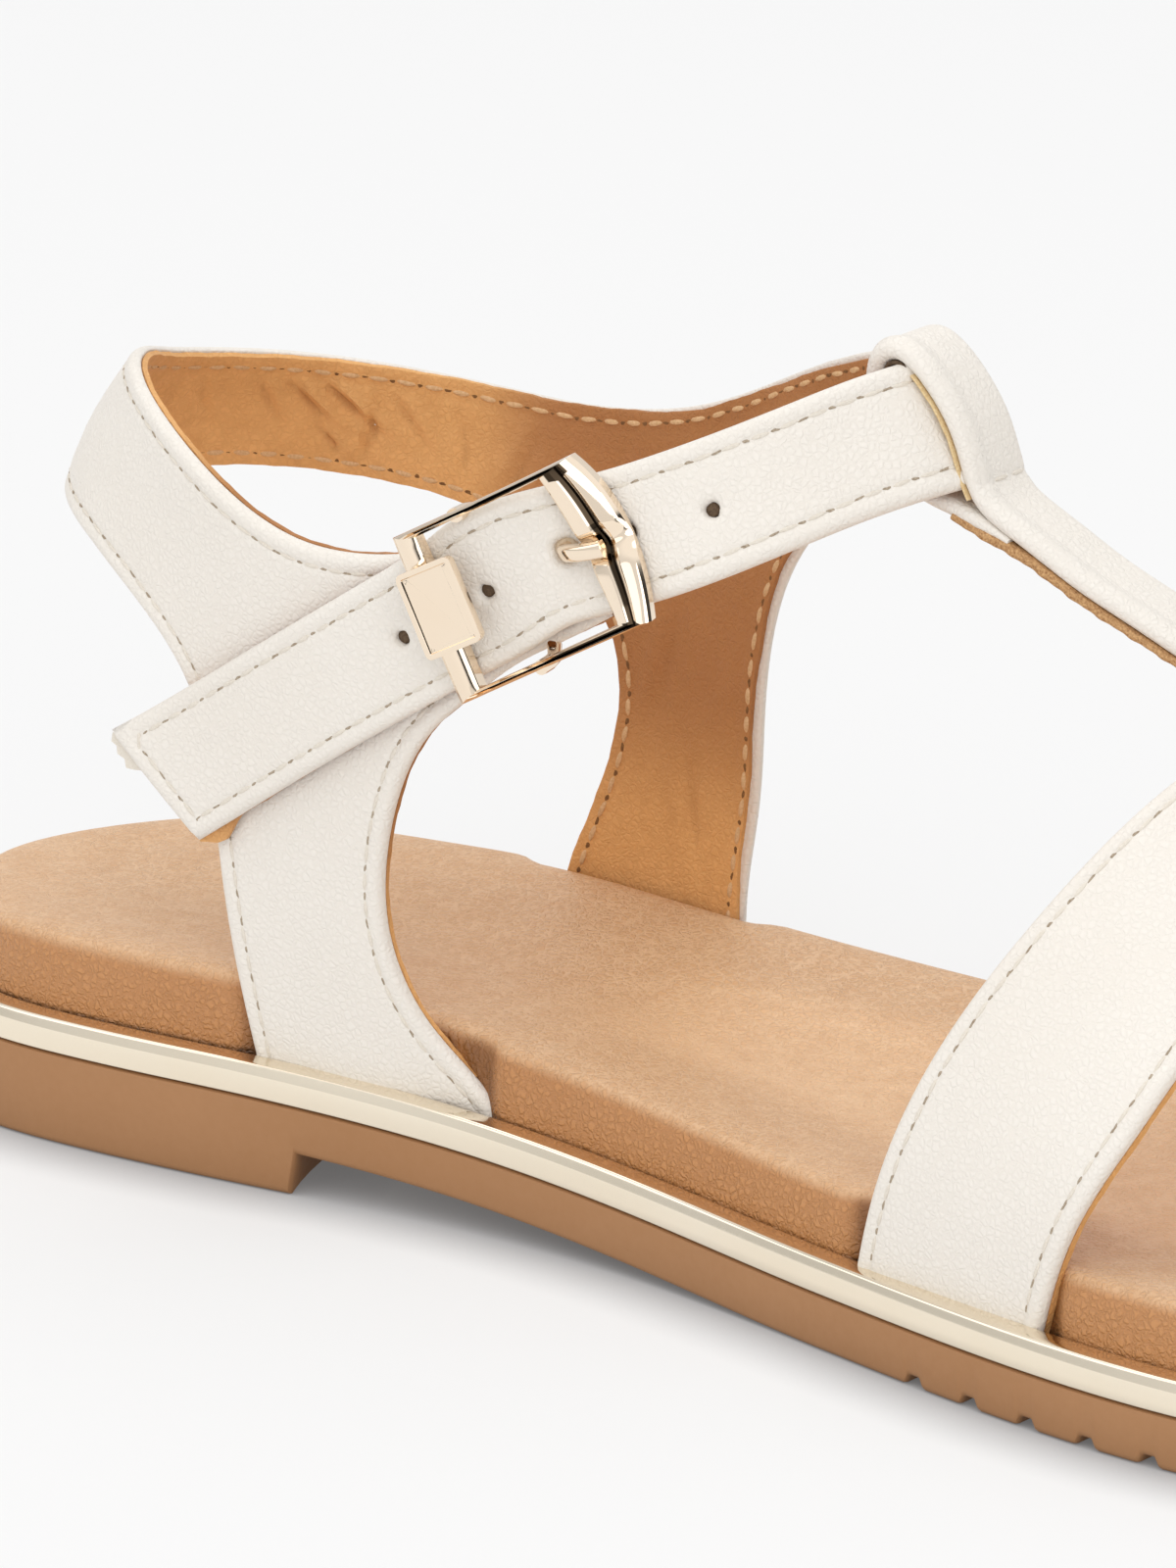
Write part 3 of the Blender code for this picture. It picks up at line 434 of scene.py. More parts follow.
# painted shade: dark beads at the stitches' ends stand in for the needle holes, outside and on the lining
needleHole = threadFinish("needleHole", (0.50, 0.42, 0.32), (0.28, 0.215, 0.15))
liningHole = threadFinish("liningHole", (0.26, 0.13, 0.05), (0.15, 0.07, 0.028))
rawEdge = threadFinish("rawEdge", (0.68, 0.42, 0.20), (0.30, 0.14, 0.055))
paleEdge = threadFinish("paleEdge", (0.80, 0.64, 0.38), (0.62, 0.42, 0.20))
tornLeather = threadFinish("tornLeather", (0.72, 0.60, 0.45), (0.55, 0.42, 0.29))
# painted shade: dark beads in the punched holes and a dark sheet in the loop's gap
darkHole = threadFinish("darkHole", (0.15, 0.10, 0.06), (0.08, 0.05, 0.03))
print("finishes made")


# flat cuts and the distance to their edges

cuts = {
    # share of an inset that a point moved in keeps from the edge, in a cut and on a sewing line
    "keep": 0.95, "sewnKeep": 0.94,
    # rings of points round a hole, way of the grid from the last inset, points handled at once
    "holeRings": (1.25, 1.7, 2.4), "gridClear": 0.6, "batch": 1500, "merge": 1e-5,
    # a sewing line breaks where its points are further apart
    "sewnGap": 6.0,
}


def insideLoop(loop, points):
    crossing = np.zeros(len(points), bool)
    for (ax, ay), (bx, by) in zip(loop, np.roll(loop, -1, axis=0)):
        if ay == by:
            continue
        spans = (ay > points[:, 1]) != (by > points[:, 1])
        crossing ^= spans & (points[:, 0] < (bx - ax) * (points[:, 1] - ay) / (by - ay) + ax)
    return crossing


def distanceTo(points, loops):
    # shortest way from each point to the edges of closed loops
    best = np.full(len(points), 1e9)
    batch = cuts["batch"]
    for loop in loops:
        ahead = np.roll(loop, -1, axis=0) - loop
        size = np.maximum((ahead ** 2).sum(1), 1e-12)
        for k in range(0, len(points), batch):
            off = points[k:k + batch, None] - loop
            t = np.clip((off * ahead).sum(-1) / size, 0.0, 1.0)
            near = np.linalg.norm(off - t[..., None] * ahead, axis=-1).min(1)
            best[k:k + batch] = np.minimum(best[k:k + batch], near)
    return best


def shiftedIn(loop, inward):
    ahead = np.roll(loop, -1, axis=0) - np.roll(loop, 1, axis=0)
    normal = unit(np.stack([-ahead[:, 1], ahead[:, 0]], 1))
    area = np.sum(loop[:, 0] * np.roll(loop[:, 1], -1) - np.roll(loop[:, 0], -1) * loop[:, 1])
    return loop + inward * np.sign(area) * normal


def layCut(outline, holes, insets, spacing):
    # points and triangles of a flat cut, closest together along its edges
    loops = [outline] + holes
    points = [np.vstack(loops)]
    for inward in insets:
        moved = shiftedIn(outline, inward)
        moved = moved[insideLoop(outline, moved)]
        points.append(moved[distanceTo(moved, loops) > cuts["keep"] * inward])
    for hole in holes:
        middle = hole.mean(0)
        for grow in cuts["holeRings"]:
            points.append(middle + (hole - middle) * grow)
    low, high = outline.min(0), outline.max(0)
    grid = np.stack(np.meshgrid(np.arange(low[0], high[0], spacing),
                                np.arange(low[1], high[1], spacing)), -1).reshape(-1, 2)
    grid = grid[insideLoop(outline, grid)]
    points.append(grid[distanceTo(grid, loops) > insets[-1] + cuts["gridClear"] * spacing])
    edges = []
    start = 0
    for loop in loops:
        edges += [(start + i, start + (i + 1) % len(loop)) for i in range(len(loop))]
        start += len(loop)
    result = delaunay_2d_cdt([Vector(p) for p in np.vstack(points)], edges, [], 1, cuts["merge"])
    flat = np.array([tuple(v) for v in result[0]])
    faces = np.array(result[2])
    middle = flat[faces].mean(axis=1)
    for hole in holes:
        keep = ~insideLoop(hole, middle)
        faces, middle = faces[keep], middle[keep]
    return flat, faces, distanceTo(flat, loops)


# rubber sole

sole = {
    "length": 256.0, "heelTipY": 0.0, "toeTipY": 8.0,
    # x along the sole, outer edge, inner edge
    "sections": [
        (-122.5, -15.5, 15.5), (-110.0, -26.4, 25.8), (-92.0, -29.2, 29.0), (-67.0, -28.0, 30.6),
        (-42.0, -26.2, 31.4), (-17.0, -28.0, 35.6), (13.0, -34.6, 40.8), (41.0, -40.9, 42.8),
        (67.0, -43.0, 43.0), (93.0, -37.5, 39.8), (113.0, -24.0, 32.4), (124.0, -7.0, 20.5),
    ],
    "heelHeight": 10.0, "breastX": -63.5, "breastSag": 7.0, "breastReach": 16.0, "breastSlope": 0.8,
    "archRubber": 5.1, "ballRubber": 5.8, "archStart": -77.0, "archEnd": 11.0,
    "springX": 63.0, "spring": 7.0, "outlinePoints": 3001, "stations": 130, "across": 17, "tipTrim": 0.12,
    "edgeRadius": 0.8, "edgeTurns": (30, 60, 90), "topRadius": 0.3, "lipShare": 0.3,
    # even stations keep clear of the grooves and of the heel's breast, which has two more of its own
    "grooveClear": 1.9, "breastClear": 1.2, "breastExtra": (-0.25, 0.3),
    "grooveFirst": 25.5, "groovePitch": 8.2, "grooveCount": 9, "grooveDepth": 1.1,
    # distance from a groove's middle, share of its depth
    "groove": [(-1.7, 0.0), (-1.35, 0.1), (-1.1, 0.5), (-0.9, 0.85), (-0.6, 1.0), (0.6, 1.0),
               (0.9, 0.85), (1.1, 0.5), (1.35, 0.1), (1.7, 0.0)],
}


def soleCurve():
    outer = [(x, out) for x, out, inn in sole["sections"]]
    inner = [(x, inn) for x, out, inn in reversed(sole["sections"])]
    tips = [(-sole["length"] / 2, sole["heelTipY"])], [(sole["length"] / 2, sole["toeTipY"])]
    at, length = curveThrough(tips[0] + outer + tips[1] + inner, closed=True)
    params = np.linspace(0.0, length, sole["outlinePoints"])
    dense = at(params)
    walk = flatRun(dense)
    return at, params, dense[:-1], walk / walk[-1]


soleAt, soleParams, soleDense, soleWalk = soleCurve()


def outlineAt(share, inward):
    # point of the sole's outline at a share of its length, moved inwards
    q = np.interp(share, soleWalk, soleParams)
    ahead = soleAt(q + 0.4) - soleAt(q - 0.4)
    normal = np.stack([-ahead[:, 1], ahead[:, 0]], 1) / np.hypot(*ahead.T)[:, None]
    return soleAt(q) + inward * normal


def soleEdges(x):
    tail = int(np.argmin(soleDense[:, 0]))
    ring = np.roll(soleDense, -tail, axis=0)
    tip = int(np.argmax(ring[:, 0]))
    outer, inner = ring[:tip + 1], ring[tip:][::-1]
    return np.interp(x, outer[:, 0], outer[:, 1]), np.interp(x, inner[:, 0], inner[:, 1])


def shareUp(start, end, share):
    return start + (end - start) * share


def rubberTop(x):
    fall = smoothStep(x, sole["archStart"], sole["archEnd"])
    reach = (np.asarray(x, float) - sole["springX"]) / (sole["length"] / 2 - sole["springX"])
    rise = sole["spring"] * np.clip(reach, 0, 1) ** 2
    return shareUp(sole["heelHeight"], sole["ballRubber"], fall) + rise


def rubberBottom(x):
    if x <= sole["breastX"]:
        return 0.0
    grow = smoothStep(x, sole["breastX"], sole["archEnd"])
    return float(rubberTop(x) - sole["archRubber"] - (sole["ballRubber"] - sole["archRubber"]) * grow)


def soleStations():
    half = sole["length"] / 2 - sole["tipTrim"]
    grooves = [sole["grooveFirst"] + i * sole["groovePitch"] for i in range(sole["grooveCount"])]
    even = -half * np.cos(np.linspace(0.0, math.pi, sole["stations"]))
    rows = [(x, rubberBottom(x)) for x in even if min(abs(x - g) for g in grooves) > sole["grooveClear"]
            and abs(x - sole["breastX"]) > sole["breastClear"]]
    before, after = sole["breastExtra"]
    front = sole["breastX"] + sole["breastSlope"]
    rows += [(sole["breastX"] + before, 0.0), (sole["breastX"], 0.0)]
    rows += [(x, rubberBottom(x)) for x in (front, front + after)]
    for g in grooves:
        rows += [(g + d, rubberBottom(g + d) + share * sole["grooveDepth"]) for d, share in sole["groove"]]
    return sorted(rows)


def soleRing(x, low):
    out, inn = soleEdges(x)
    top = float(rubberTop(x))
    width = inn - out
    edge = min(sole["edgeRadius"], width / 5)
    lip = min(sole["topRadius"], width / 8)
    sag = sole["breastSag"] * bell(x, sole["breastX"], sole["breastReach"])
    ring = []
    for t in np.linspace(-1.0, 1.0, sole["across"]):
        ring.append((x - sag * (1 - t * t), (out + inn) / 2 + t * (width / 2 - edge), low))
    # way in from the side and height, up the side
    turn = [math.radians(a) for a in sole["edgeTurns"]]
    small = sole["lipShare"] * lip
    side = [(edge - edge * math.sin(a), low + edge - edge * math.cos(a)) for a in turn]
    side += [(0.0, top - lip), (small, top - small), (lip, top)]
    ring += [(x, inn - d, z) for d, z in side] + [(x, out + d, z) for d, z in side[::-1]]
    return ring


rubberSole = loftPiece("rubberSole", [soleRing(x, low) for x, low in soleStations()], sharpAngle=38.0)
settle(rubberSole, brownRubber, "rubber", "outsole")
print("rubber sole made")


# gold rim

rim = {
    "points": 420,
    # inset from the outline, height above the rubber
    "profile": [(0.9, 0.3), (0.25, 0.3), (0.07, 0.36), (0.0, 0.52), (0.0, 2.72), (0.02, 2.84), (0.27, 3.7),
                (0.33, 3.82), (0.44, 3.92), (0.62, 3.98), (1.2, 4.0), (2.6, 3.97), (3.1, 3.9), (3.34, 3.76),
                (3.42, 3.5), (3.42, 0.3)],
}


def goldRimRings():
    share = np.arange(rim["points"]) / rim["points"]
    rings = []
    for inward, height in rim["profile"]:
        plan = outlineAt(share, inward)
        rings.append(np.c_[plan, rubberTop(plan[:, 0]) + height])
    return np.array(rings).transpose(1, 0, 2)


goldRim = loftPiece("goldRim", goldRimRings(), closedAlong=True, sharpAngle=35.0)
settle(goldRim, rimGold, "gold_rim", "rim")
print("gold rim made")


# padded footbed

footbed = {
    "points": 420, "gap": 0.3,
    # inset from the outline, share of the wall's height
    "wall": [(3.7, 0.0), (3.72, 0.25), (3.78, 0.5), (3.9, 0.72), (4.1, 0.86), (4.45, 0.94), (5.0, 0.975),
             (6.2, 0.995), (8.4, 1.0), (13.0, 0.97)],
    "heel": 11.8, "ball": 10.3, "dish": 1.6, "archPad": 1.9, "archPadX": -50.0, "archPadReach": 52.0,
    "heelDrop": 1.1, "heelDropStart": 98.0, "heelDropEnd": 126.0, "halfWidth": 30.0,
    # side and stretch of x where a strap presses the wall in
    "pockets": [(-1, -70.0, -42.5), (1, -69.0, -42.0), (-1, 14.5, 41.0), (1, 31.0, 54.5)],
    "pocketDeep": 1.5, "pocketRamp": 4.0, "pocketFades": (5.0, 9.0),
    # painted sheen: a paler stretch of the top, along the sole and inwards
    "paintedSheenX": (-50.0, -22.0), "paintedSheenIn": (13.0, 24.0),
    # insets and spacing of the top's and the base's points
    "topInsets": [1.5, 3.0, 4.5], "topSpacing": 3.0, "baseInsets": [3.0, 6.0], "baseSpacing": 6.0,
    # ways in over which the top becomes level and sinks into its dish
    "levelIn": (0.0, 8.0), "dishIn": (-4.0, 16.0), "wallStep": 0.35, "outlineEvery": 5,
}


def footbedHeight(x, y):
    fall = smoothStep(x, sole["archStart"], sole["archEnd"])
    edge = shareUp(footbed["heel"], footbed["ball"], fall)
    drop = footbed["heelDrop"] * smoothStep(-np.asarray(x), footbed["heelDropStart"], footbed["heelDropEnd"])
    pad = bell(x, footbed["archPadX"], footbed["archPadReach"]) * np.maximum(0.0, y) / footbed["halfWidth"]
    return edge - drop + footbed["archPad"] * pad


def pocketAt(plan, inward):
    ramp = footbed["pocketRamp"]
    pressed = np.zeros(len(plan))
    for side, start, end in footbed["pockets"]:
        along = smoothStep(plan[:, 0], start - ramp, start) * (1 - smoothStep(plan[:, 0], end, end + ramp))
        pressed = np.maximum(pressed, along * (plan[:, 1] * side > 0))
    return footbed["pocketDeep"] * pressed * (1 - float(smoothStep(inward, *footbed["pocketFades"])))


def footbedRings():
    share = np.arange(footbed["points"]) / footbed["points"]
    rings = []
    for inward, rise in alongCurve(footbed["wall"], footbed["wallStep"]):
        plan = outlineAt(share, inward)
        plan = outlineAt(share, (inward + pocketAt(plan, inward))[:, None])
        height = footbed["gap"] + rise * footbedHeight(*plan.T)
        rings.append(np.c_[plan, rubberTop(plan[:, 0]) + height])
    return np.array(rings)


def footbedPiece():
    # a wall of rings, with a dished top and a base laid inside its end rings
    rings = footbedRings()
    rows, count = rings.shape[:2]
    points = list(rings.reshape(-1, 3))
    faces = []
    for k in range(rows - 1):
        for i in range(count):
            j = (i + 1) % count
            faces.append((k * count + i, k * count + j, (k + 1) * count + j, (k + 1) * count + i))
    flat, inside, depth = layCut(rings[-1][:, :2], [], footbed["topInsets"], footbed["topSpacing"])
    level = shareUp(footbed["wall"][-1][1], 1, smoothStep(depth, *footbed["levelIn"]))
    sunk = smoothStep(depth, *footbed["dishIn"]) - float(smoothStep(0.0, *footbed["dishIn"]))
    height = rubberTop(flat[:, 0]) + footbed["gap"] + level * footbedHeight(*flat.T) - footbed["dish"] * sunk
    faces += [tuple(int(v) + len(points) for v in face) for face in inside]
    points += list(np.c_[flat, height])
    flat, inside, depth = layCut(rings[0][:, :2], [], footbed["baseInsets"], footbed["baseSpacing"])
    faces += [tuple(int(v) + len(points) for v in face[::-1]) for face in inside]
    points += list(np.c_[flat, rubberTop(flat[:, 0]) + footbed["gap"]])
    return meshPiece("paddedFootbed", points, faces, sharpAngle=50.0)


def markFootbed(piece):
    # way in from the outline and share of the wall's height, for the finish
    place = pointsOf(piece)
    plan = place[:, :2]
    rise = (place[:, 2] - rubberTop(plan[:, 0]) - footbed["gap"]) / footbedHeight(*plan.T)
    inward = distanceTo(plan, [soleDense[::footbed["outlineEvery"]]])
    keepMark(piece, "rise", rise)
    keepMark(piece, "inward", inward)
    # painted sheen over a stretch of the top's middle
    paintedSheen = smoothStep(plan[:, 0], *footbed["paintedSheenX"]) * smoothStep(inward, *footbed["paintedSheenIn"])
    keepMark(piece, "paintedSheen", paintedSheen)
    keepMark(piece, "pocket", pocketAt(plan, 0.0) / footbed["pocketDeep"])


paddedFootbed = footbedPiece()
markFootbed(paddedFootbed)
settle(paddedFootbed, tanFootbedLeather, "tan_leather", "footbed")
print("footbed made")


# leather cut flat, bent over a surface and given a wall with turned edges

def surfaceNormals(surface, flat):
    du = surface(flat + (0.2, 0.0)) - surface(flat - (0.2, 0.0))
    dv = surface(flat + (0.0, 0.2)) - surface(flat - (0.0, 0.2))
    return unit(np.cross(dv, du))


def sheetPiece(name, cut, surface, outerAt, innerAt):
    # outerAt and innerAt give the faces' height from the distance to the edge
    flat, faces, depth = cut
    middle, normal = surface(flat), surfaceNormals(surface, flat)
    outer = middle + normal * np.asarray(outerAt(depth, flat))[:, None]
    inner = middle + normal * np.asarray(innerAt(depth, flat))[:, None]
    count = len(flat)
    made = [tuple(f) for f in faces] + [tuple(f[::-1] + count) for f in faces]
    pairs = np.vstack([faces[:, [0, 1]], faces[:, [1, 2]], faces[:, [2, 0]]])
    key = np.sort(pairs, axis=1) @ np.array([count, 1])
    once = np.isin(key, [k for k, n in zip(*np.unique(key, return_counts=True)) if n == 1])
    made += [(b, a, a + count, b + count) for a, b in pairs[once]]
    return meshPiece(name, np.vstack([outer, inner]), made, sharpAngle=50.0)


# how leather and lining lie in the wall of a strap

wall = {
    "half": 1.0, "seam": -0.3, "edgeRound": 0.9, "rollHigh": 0.06, "rollAt": 1.1, "rollWide": 0.6,
    "stitchIn": 2.0, "insideStitchIn": 1.4, "grooveDeep": 0.16, "grooveWide": 0.3,
    "insets": [0.04, 0.12, 0.24, 0.4, 0.6, 0.85, 1.1, 1.35, 1.6, 1.8, 2.0, 2.2, 2.45, 2.9, 3.8],
    "edgeStep": 1.1, "spacing": 1.9,
    "liningOver": -0.03, "liningWobble": 0.09, "liningInsets": [0.25, 0.8, 1.5, 2.0, 2.6],
    "liningSpacing": 0.75, "liningGap": 0.02, "creaseIn": (1.8, 3.4),
    # depth or rise and reach: leather turned under, the lining's groove and its edge
    "turnedUnder": (0.22, 0.35), "liningGroove": (0.12, 0.4), "liningEdge": (0.1, 0.3),
    # waves of the lining's edge: share, rate, start
    "liningWaves": [(1.0, 0.9, 0.0), (0.7, 2.3, 1.0), (0.5, 0.37, 2.0)],
    # places on the ankle's cut where the lining stands out or falls short: way round, height, push, reach
    "liningLoose": [
        (222.4, 38.8, 1.4, 2.2), (77.5, 30.0, -0.9, 9.0), (79.0, 44.0, -0.9, 8.0), (83.5, 60.0, -0.9, 8.0),
        (70.0, 77.0, -0.4, 7.0), (84.0, 83.0, -0.5, 8.0), (96.0, 88.0, -0.5, 8.0), (150.0, 80.5, -0.5, 9.0),
        (164.0, 74.5, -0.5, 8.0), (138.0, 83.5, -0.5, 9.0),
    ],
}


def creamOuter(depth, flat):
    rounding = wall["edgeRound"]
    rise = np.sqrt(np.maximum(0.0, rounding ** 2 - np.maximum(0.0, rounding - depth) ** 2))
    roll = wall["rollHigh"] * bell(depth, wall["rollAt"], wall["rollWide"])
    groove = wall["grooveDeep"] * bell(depth, wall["stitchIn"], wall["grooveWide"])
    return wall["half"] - rounding + rise + roll - groove


def creamInner(depth, flat):
    rise, reach = wall["turnedUnder"]
    return wall["seam"] + rise * np.maximum(0.0, 1 - depth / reach) ** 2


def liningOuter(depth, flat):
    return np.full(len(depth), wall["seam"] - wall["liningGap"])


def liningInner(depth, flat):
    deep, wide = wall["liningGroove"]
    rise, reach = wall["liningEdge"]
    groove = deep * bell(depth, wall["stitchIn"], wide)
    return -wall["half"] + groove + rise * np.maximum(0.0, 1 - depth / reach)


def liningOutline(outline):
    # the raw edge of the lining runs a little unevenly beside the turned edge
    run = runAlong(outline)
    wave = sum(share * np.sin(run * rate + start) for share, rate, start in wall["liningWaves"])
    grow = wall["liningOver"] + wall["liningWobble"] * wave / 2
    for s, h, push, reach in wall["liningLoose"]:
        grow += push * bell(np.hypot(outline[:, 0] - s, outline[:, 1] - h), 0.0, reach)
    return shiftedIn(outline, -grow[:, None])


def foldRelief(flat, folds):
    # soft folds, each a trough with a ridge beside it
    total = np.zeros(len(flat))
    for s, h, turn, reach, deep, wide in folds:
        c, k = math.cos(math.radians(turn)), math.sin(math.radians(turn))
        along = (flat[:, 0] - s) * c + (flat[:, 1] - h) * k
        across = (flat[:, 1] - h) * c - (flat[:, 0] - s) * k
        section = bell(across, 0.0, wide) - bell(across, 2 * wide, 1.2 * wide)
        total += deep * bell(along, 0.0, reach) * section
    return total


# stitches: a thread bead and a needle hole, each shaped once and copied along a run

stitch = {
    "pitch": 3.1, "thread": (2.4, 0.46, 0.42), "droop": 0.15, "rise": 0.02, "hole": (0.9, 0.3, 0.2),
    "insideThread": (2.3, 0.66, 0.6), "insideHole": (0.9, 0.5, 0.25),
    "threadUneven": 0.08, "holeUneven": 0.35,
    # two sways along a run, as rate and start; how they thin, slant and move an uneven bead
    "sways": ((7.3, 0.0), (4.1, 1.0)), "thin": 0.5, "slant": 0.6, "move": (0.25, 0.1),
}


def beadShape(long, wide, high, droop):
    # points and faces of a small ball drawn out along x, with its ends pulled down
    deselectAll()
    bpy.ops.mesh.primitive_uv_sphere_add(segments=6, ring_count=6, radius=0.5)
    ball = bpy.context.object
    points = np.array([tuple(v.co) for v in ball.data.vertices])[:, [2, 0, 1]]
    points[:, 2] -= droop / high * (2 * points[:, 0]) ** 4
    faces = [tuple(p.vertices) for p in ball.data.polygons]
    bpy.ops.object.delete()
    return points * (long, wide, high), faces


def stitchPlaces(path, surface, height):
    # middles, directions and normals of the stitches along a path on the flat cut
    bent = surface(path)
    run = runAlong(bent)
    count = int(run[-1] // stitch["pitch"])
    if count < 1:
        return []
    at = (np.arange(count) + 0.5) * run[-1] / count
    flat = np.stack([np.interp(at, run, path[:, k]) for k in (0, 1)], 1)
    ahead = unit(np.stack([np.interp(at + 0.6, run, bent[:, k]) - np.interp(at - 0.6, run, bent[:, k])
                           for k in range(3)], 1))
    normal = surfaceNormals(surface, flat) * np.sign(height)
    return list(zip(surface(flat) + normal * abs(height), ahead, normal))


def beadPiece(name, places, bead, shifts=(0.0,), rise=0.0, uneven=0.0):
    # uneven turns and stretches each bead a little
    shape, shapeFaces = bead
    points, faces = [], []
    for middle, ahead, normal in places:
        side = np.cross(normal, ahead)
        basis = np.stack([ahead, side / np.linalg.norm(side), normal])
        for shift in shifts:
            start = len(points) * len(shape)
            sway = [uneven * math.sin(rate * len(points) + begin) for rate, begin in stitch["sways"]]
            turned = shape * (1 + sway[0], 1 - stitch["thin"] * sway[0], 1.0)
            turned = turned + np.outer(turned[:, 0] * stitch["slant"] * sway[1], (0.0, 1.0, 0.0))
            moved = (shift + stitch["move"][0] * sway[1], stitch["move"][1] * sway[0], rise)
            faces += [tuple(start + v for v in face) for face in shapeFaces]
            points.append((turned + moved) @ basis + middle)
    return meshPiece(name, np.vstack(points), faces, sharpAngle=60.0)


threadBead = beadShape(*stitch["thread"], stitch["droop"])
holeBead = beadShape(*stitch["hole"], 0.0)
insideBead = beadShape(*stitch["insideThread"], stitch["droop"])
insideHoleBead = beadShape(*stitch["insideHole"], 0.0)


def sewRuns(label, runs, surface, height, inside=False):
    # threads and needle holes along the runs, on the outer or the lining's side
    places = [p for path in runs for p in stitchPlaces(path, surface, height)]
    beads = (insideBead, insideHoleBead) if inside else (threadBead, holeBead)
    finishes = (tanThread, liningHole) if inside else (creamThread, needleHole)
    slotName = "tan_leather" if inside else "cream_leather"
    ends = (-stitch["pitch"] / 2, stitch["pitch"] / 2)
    threads = beadPiece(label + "Thread", places, beads[0], (0.0,), stitch["rise"], stitch["threadUneven"])
    holes = beadPiece(label + "Holes", places, beads[1], ends, 0.0, stitch["holeUneven"])
    settle(threads, finishes[0], slotName)
    settle(holes, finishes[1], slotName)


def sewnPaths(outline, inward, keep):
    # the outline moved in to the sewing line, broken where it is not sewn
    moved = shiftedIn(outline, inward)
    clear = distanceTo(moved, [outline]) > cuts["sewnKeep"] * inward
    good = insideLoop(outline, moved) & clear & keep(moved)
    start = int(np.argmin(good))
    moved, good = np.roll(moved, -start, axis=0), np.roll(good, -start)
    runs, current = [], []
    for point in moved[good]:
        if current and np.linalg.norm(point - current[-1]) > cuts["sewnGap"]:
            runs.append(np.array(current))
            current = []
        current.append(point)
    runs.append(np.array(current))
    return [r for r in runs if len(r) > 3]


# heel band, quarters and ankle strap, cut in one

